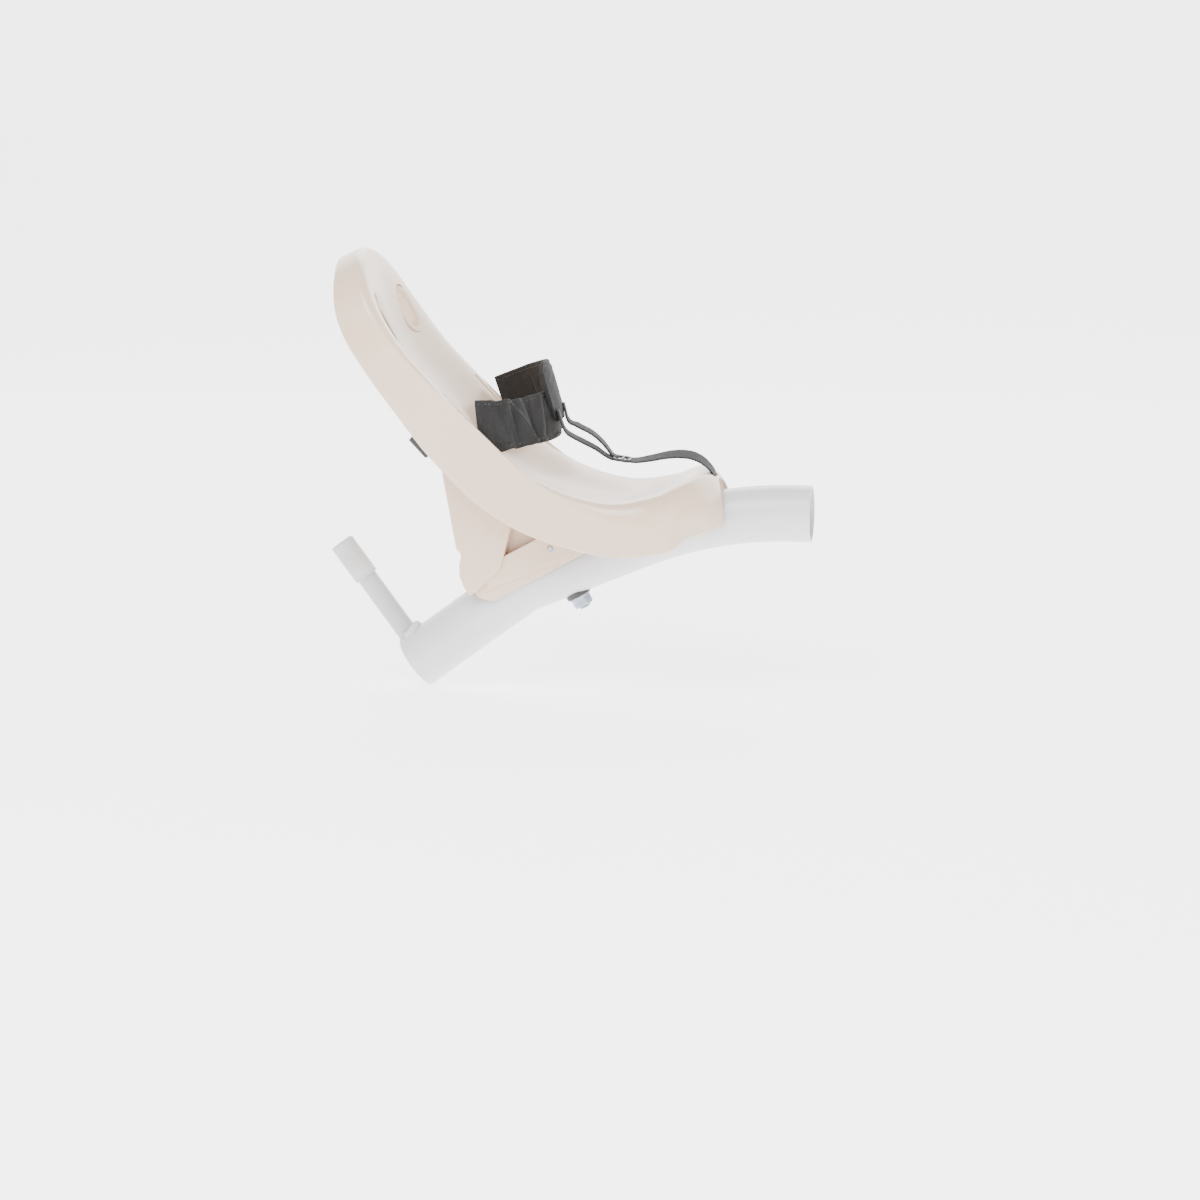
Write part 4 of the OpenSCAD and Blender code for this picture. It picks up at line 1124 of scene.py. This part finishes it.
def make_shoe():
    """The sliding shoe: a slotted plate between two cheeks, each with rounded edges."""
    plate = slide_box("shoe_plate", (-106, -40.5, PLATE_LOW), (72, 40.5, PLATE_TOP))
    cut_away(plate, [prism("slot", rounded_rectangle(60.6, 15.6, 7.8, 10), slide_point(22.5, 0.0, 0.0),
                           SLIDE_UP, ACROSS, SLIDE_OFF, PLATE_LOW - 1, PLATE_TOP + 1)])
    cheek = np.array([[-106, PLATE_LOW + 1], [-106, 22], [-92, 8], [42, 8], [72, PLATE_LOW - 8],
                      [72, PLATE_LOW + 1]])
    middle = slide_point(0.0, 0.0, 0.0)
    parts = [plate] + [prism("shoe_cheek_" + word, cheek, middle, SLIDE_UP, SLIDE_OFF, -ACROSS, low, low + 4)
                       for word, low in (("left", -40.5), ("right", 36.5))]
    for i, part in enumerate(parts):
        tidy_mesh(part, 1e-6, 30)
        round_edges(part, 1.0)
        finish_piece(part, "seat", "ivory_plastic", ivory, *(["slide_shoe"] if i == 0 else []))


make_shoe()


# ---------------------------------------------------------------- clamp hardware
def slide_grid(name, x, y, z, body, material, *nodes, smooth=40):
    """A closed skin from grids of slide-frame coordinates, rows up the bolt and columns round it."""
    skin = mesh_object(name, slide_point(x, y, z), grid_faces(*x.shape, True, True))
    return finish_piece(tidy_mesh(skin, 1e-8, smooth), body, "zinc", material, *nodes)


def ring_rows(rows, turn):
    """Turns (radius, height) rows into x, y, z grids round the bolt; a radius may vary with the turn."""
    r = np.stack([np.broadcast_to(row[0], turn.shape) for row in rows])
    z = np.stack([np.broadcast_to(row[1], turn.shape) for row in rows])
    return r * np.cos(turn), r * np.sin(turn), z


SADDLE_LOW = -38.4
NUT_TOP = SADDLE_LOW - 2.5
turn = np.linspace(0, 2 * PI, 192, endpoint=False)
hexagon = 11 / np.cos((turn % (PI / 3)) - PI / 6)
rows = [(7.05, NUT_TOP - 0.05), (7.05, NUT_TOP - 10.4), (7.7, NUT_TOP - 11.05)]
for h in np.linspace(0, 2.4, 9):
    rows.append((np.minimum(hexagon, 10.4 + 0.9 * h ** 0.5 * 1.6), NUT_TOP - 11.05 + h))
rows += [(hexagon, NUT_TOP - 11.05 + h) for h in (2.6, 6, 9.6)]
rows += [(np.minimum(hexagon, 13 - 0.9 * h), NUT_TOP - 1.4 + h) for h in np.linspace(0.2, 1.35, 4)]
slide_grid("nut_skin", *ring_rows(rows, turn), "nut", zinc, "clamp_nut", smooth=25)

rows = [(0.02, NUT_TOP - 14.0), (5.2, NUT_TOP - 14.0)]
heights = np.linspace(NUT_TOP - 13.8, NUT_TOP - 10.6, 26)
phase = np.abs(((heights[:, None] / 1.75 - turn[None] / (2 * PI)) % 1) * 2 - 1)
for h, share in zip(heights, phase):
    rows.append((np.minimum(7.0 - 1.0 * share, 5.4 + 2.2 * (h - NUT_TOP + 13.8)), h))
rows += [(6.9, NUT_TOP - 10.4), (6.9, PLATE_TOP + 3.2)]
rows += [(hexagon, PLATE_TOP + 3.25), (hexagon, PLATE_TOP + 9.2),
         (np.minimum(hexagon, 11.4), PLATE_TOP + 10.1), (0.02, PLATE_TOP + 10.2)]
slide_grid("bolt_skin", *ring_rows(rows, turn), "arm", zinc, "clamp_bolt", smooth=30)

bend = np.linspace(0, PI / 2, 5)
rows = [(7.3, NUT_TOP), (7.3, NUT_TOP + 2.45)]
rows += [(13.4 + 0.6 * math.sin(b), NUT_TOP + 1.85 + 0.6 * math.cos(b)) for b in bend]
rows += [(13.4 + 0.6 * math.cos(b), NUT_TOP + 0.6 - 0.6 * math.sin(b)) for b in bend]
slide_grid("flat_washer_skin", *ring_rows(rows, turn), "arm", zinc, "flat_washer")


def saddle_top(r):
    """Height of the tube's underside above each place of a ring of radius r."""
    x, y = r * np.cos(turn), r * np.sin(turn)
    return -x * math.tan(LEAN) - np.sqrt(35.07 ** 2 - y ** 2) / math.cos(LEAN)


rows = [(7.3, SADDLE_LOW), (7.3, saddle_top(7.3)), (11, saddle_top(11)), (15.4, saddle_top(15.4)),
        (16, saddle_top(16) - 0.6)]
rows += [(15.2 + 0.8 * math.cos(b), SADDLE_LOW + 0.8 - 0.8 * math.sin(b)) for b in bend]
saddle = slide_grid("saddle_skin", *ring_rows(rows, turn), "arm", black_plastic, "saddle_washer")

# ---------------------------------------------------------------- CAD pieces that keep their own shape
KEPT = {"shoe_liner": black_plastic, "shell_screws": zinc, "cheek_screws": zinc, "slot_washer": zinc,
        "loop_patch": pile, "hook_patch": pile}
for name, material in KEPT.items():
    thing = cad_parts[name]
    thing.data.materials.clear()
    thing.data.materials.append(material)

# ---------------------------------------------------------------- floor
low = cad_low[2] - 0.002
s = np.linspace(0, 1, 40)
reach = np.concatenate([[-6.0, 3.0], 3.0 + 1.5 * np.sin(s * PI / 2), [4.5]])
rise = np.concatenate([[0, 0], 1.5 * (1 - np.cos(s * PI / 2)), [6.0]])
x = np.array([-9.0, 9.0])
sweep = np.stack([np.broadcast_to(x[None], (len(reach), 2)), np.broadcast_to(reach[:, None], (len(reach), 2)),
                  np.broadcast_to(low + rise[:, None], (len(reach), 2))], -1)
floor = mesh_object("studio_floor", sweep, grid_faces(len(reach), 2))
for polygon in floor.data.polygons:
    polygon.use_smooth = True
floor.data.materials.append(floor_paper)
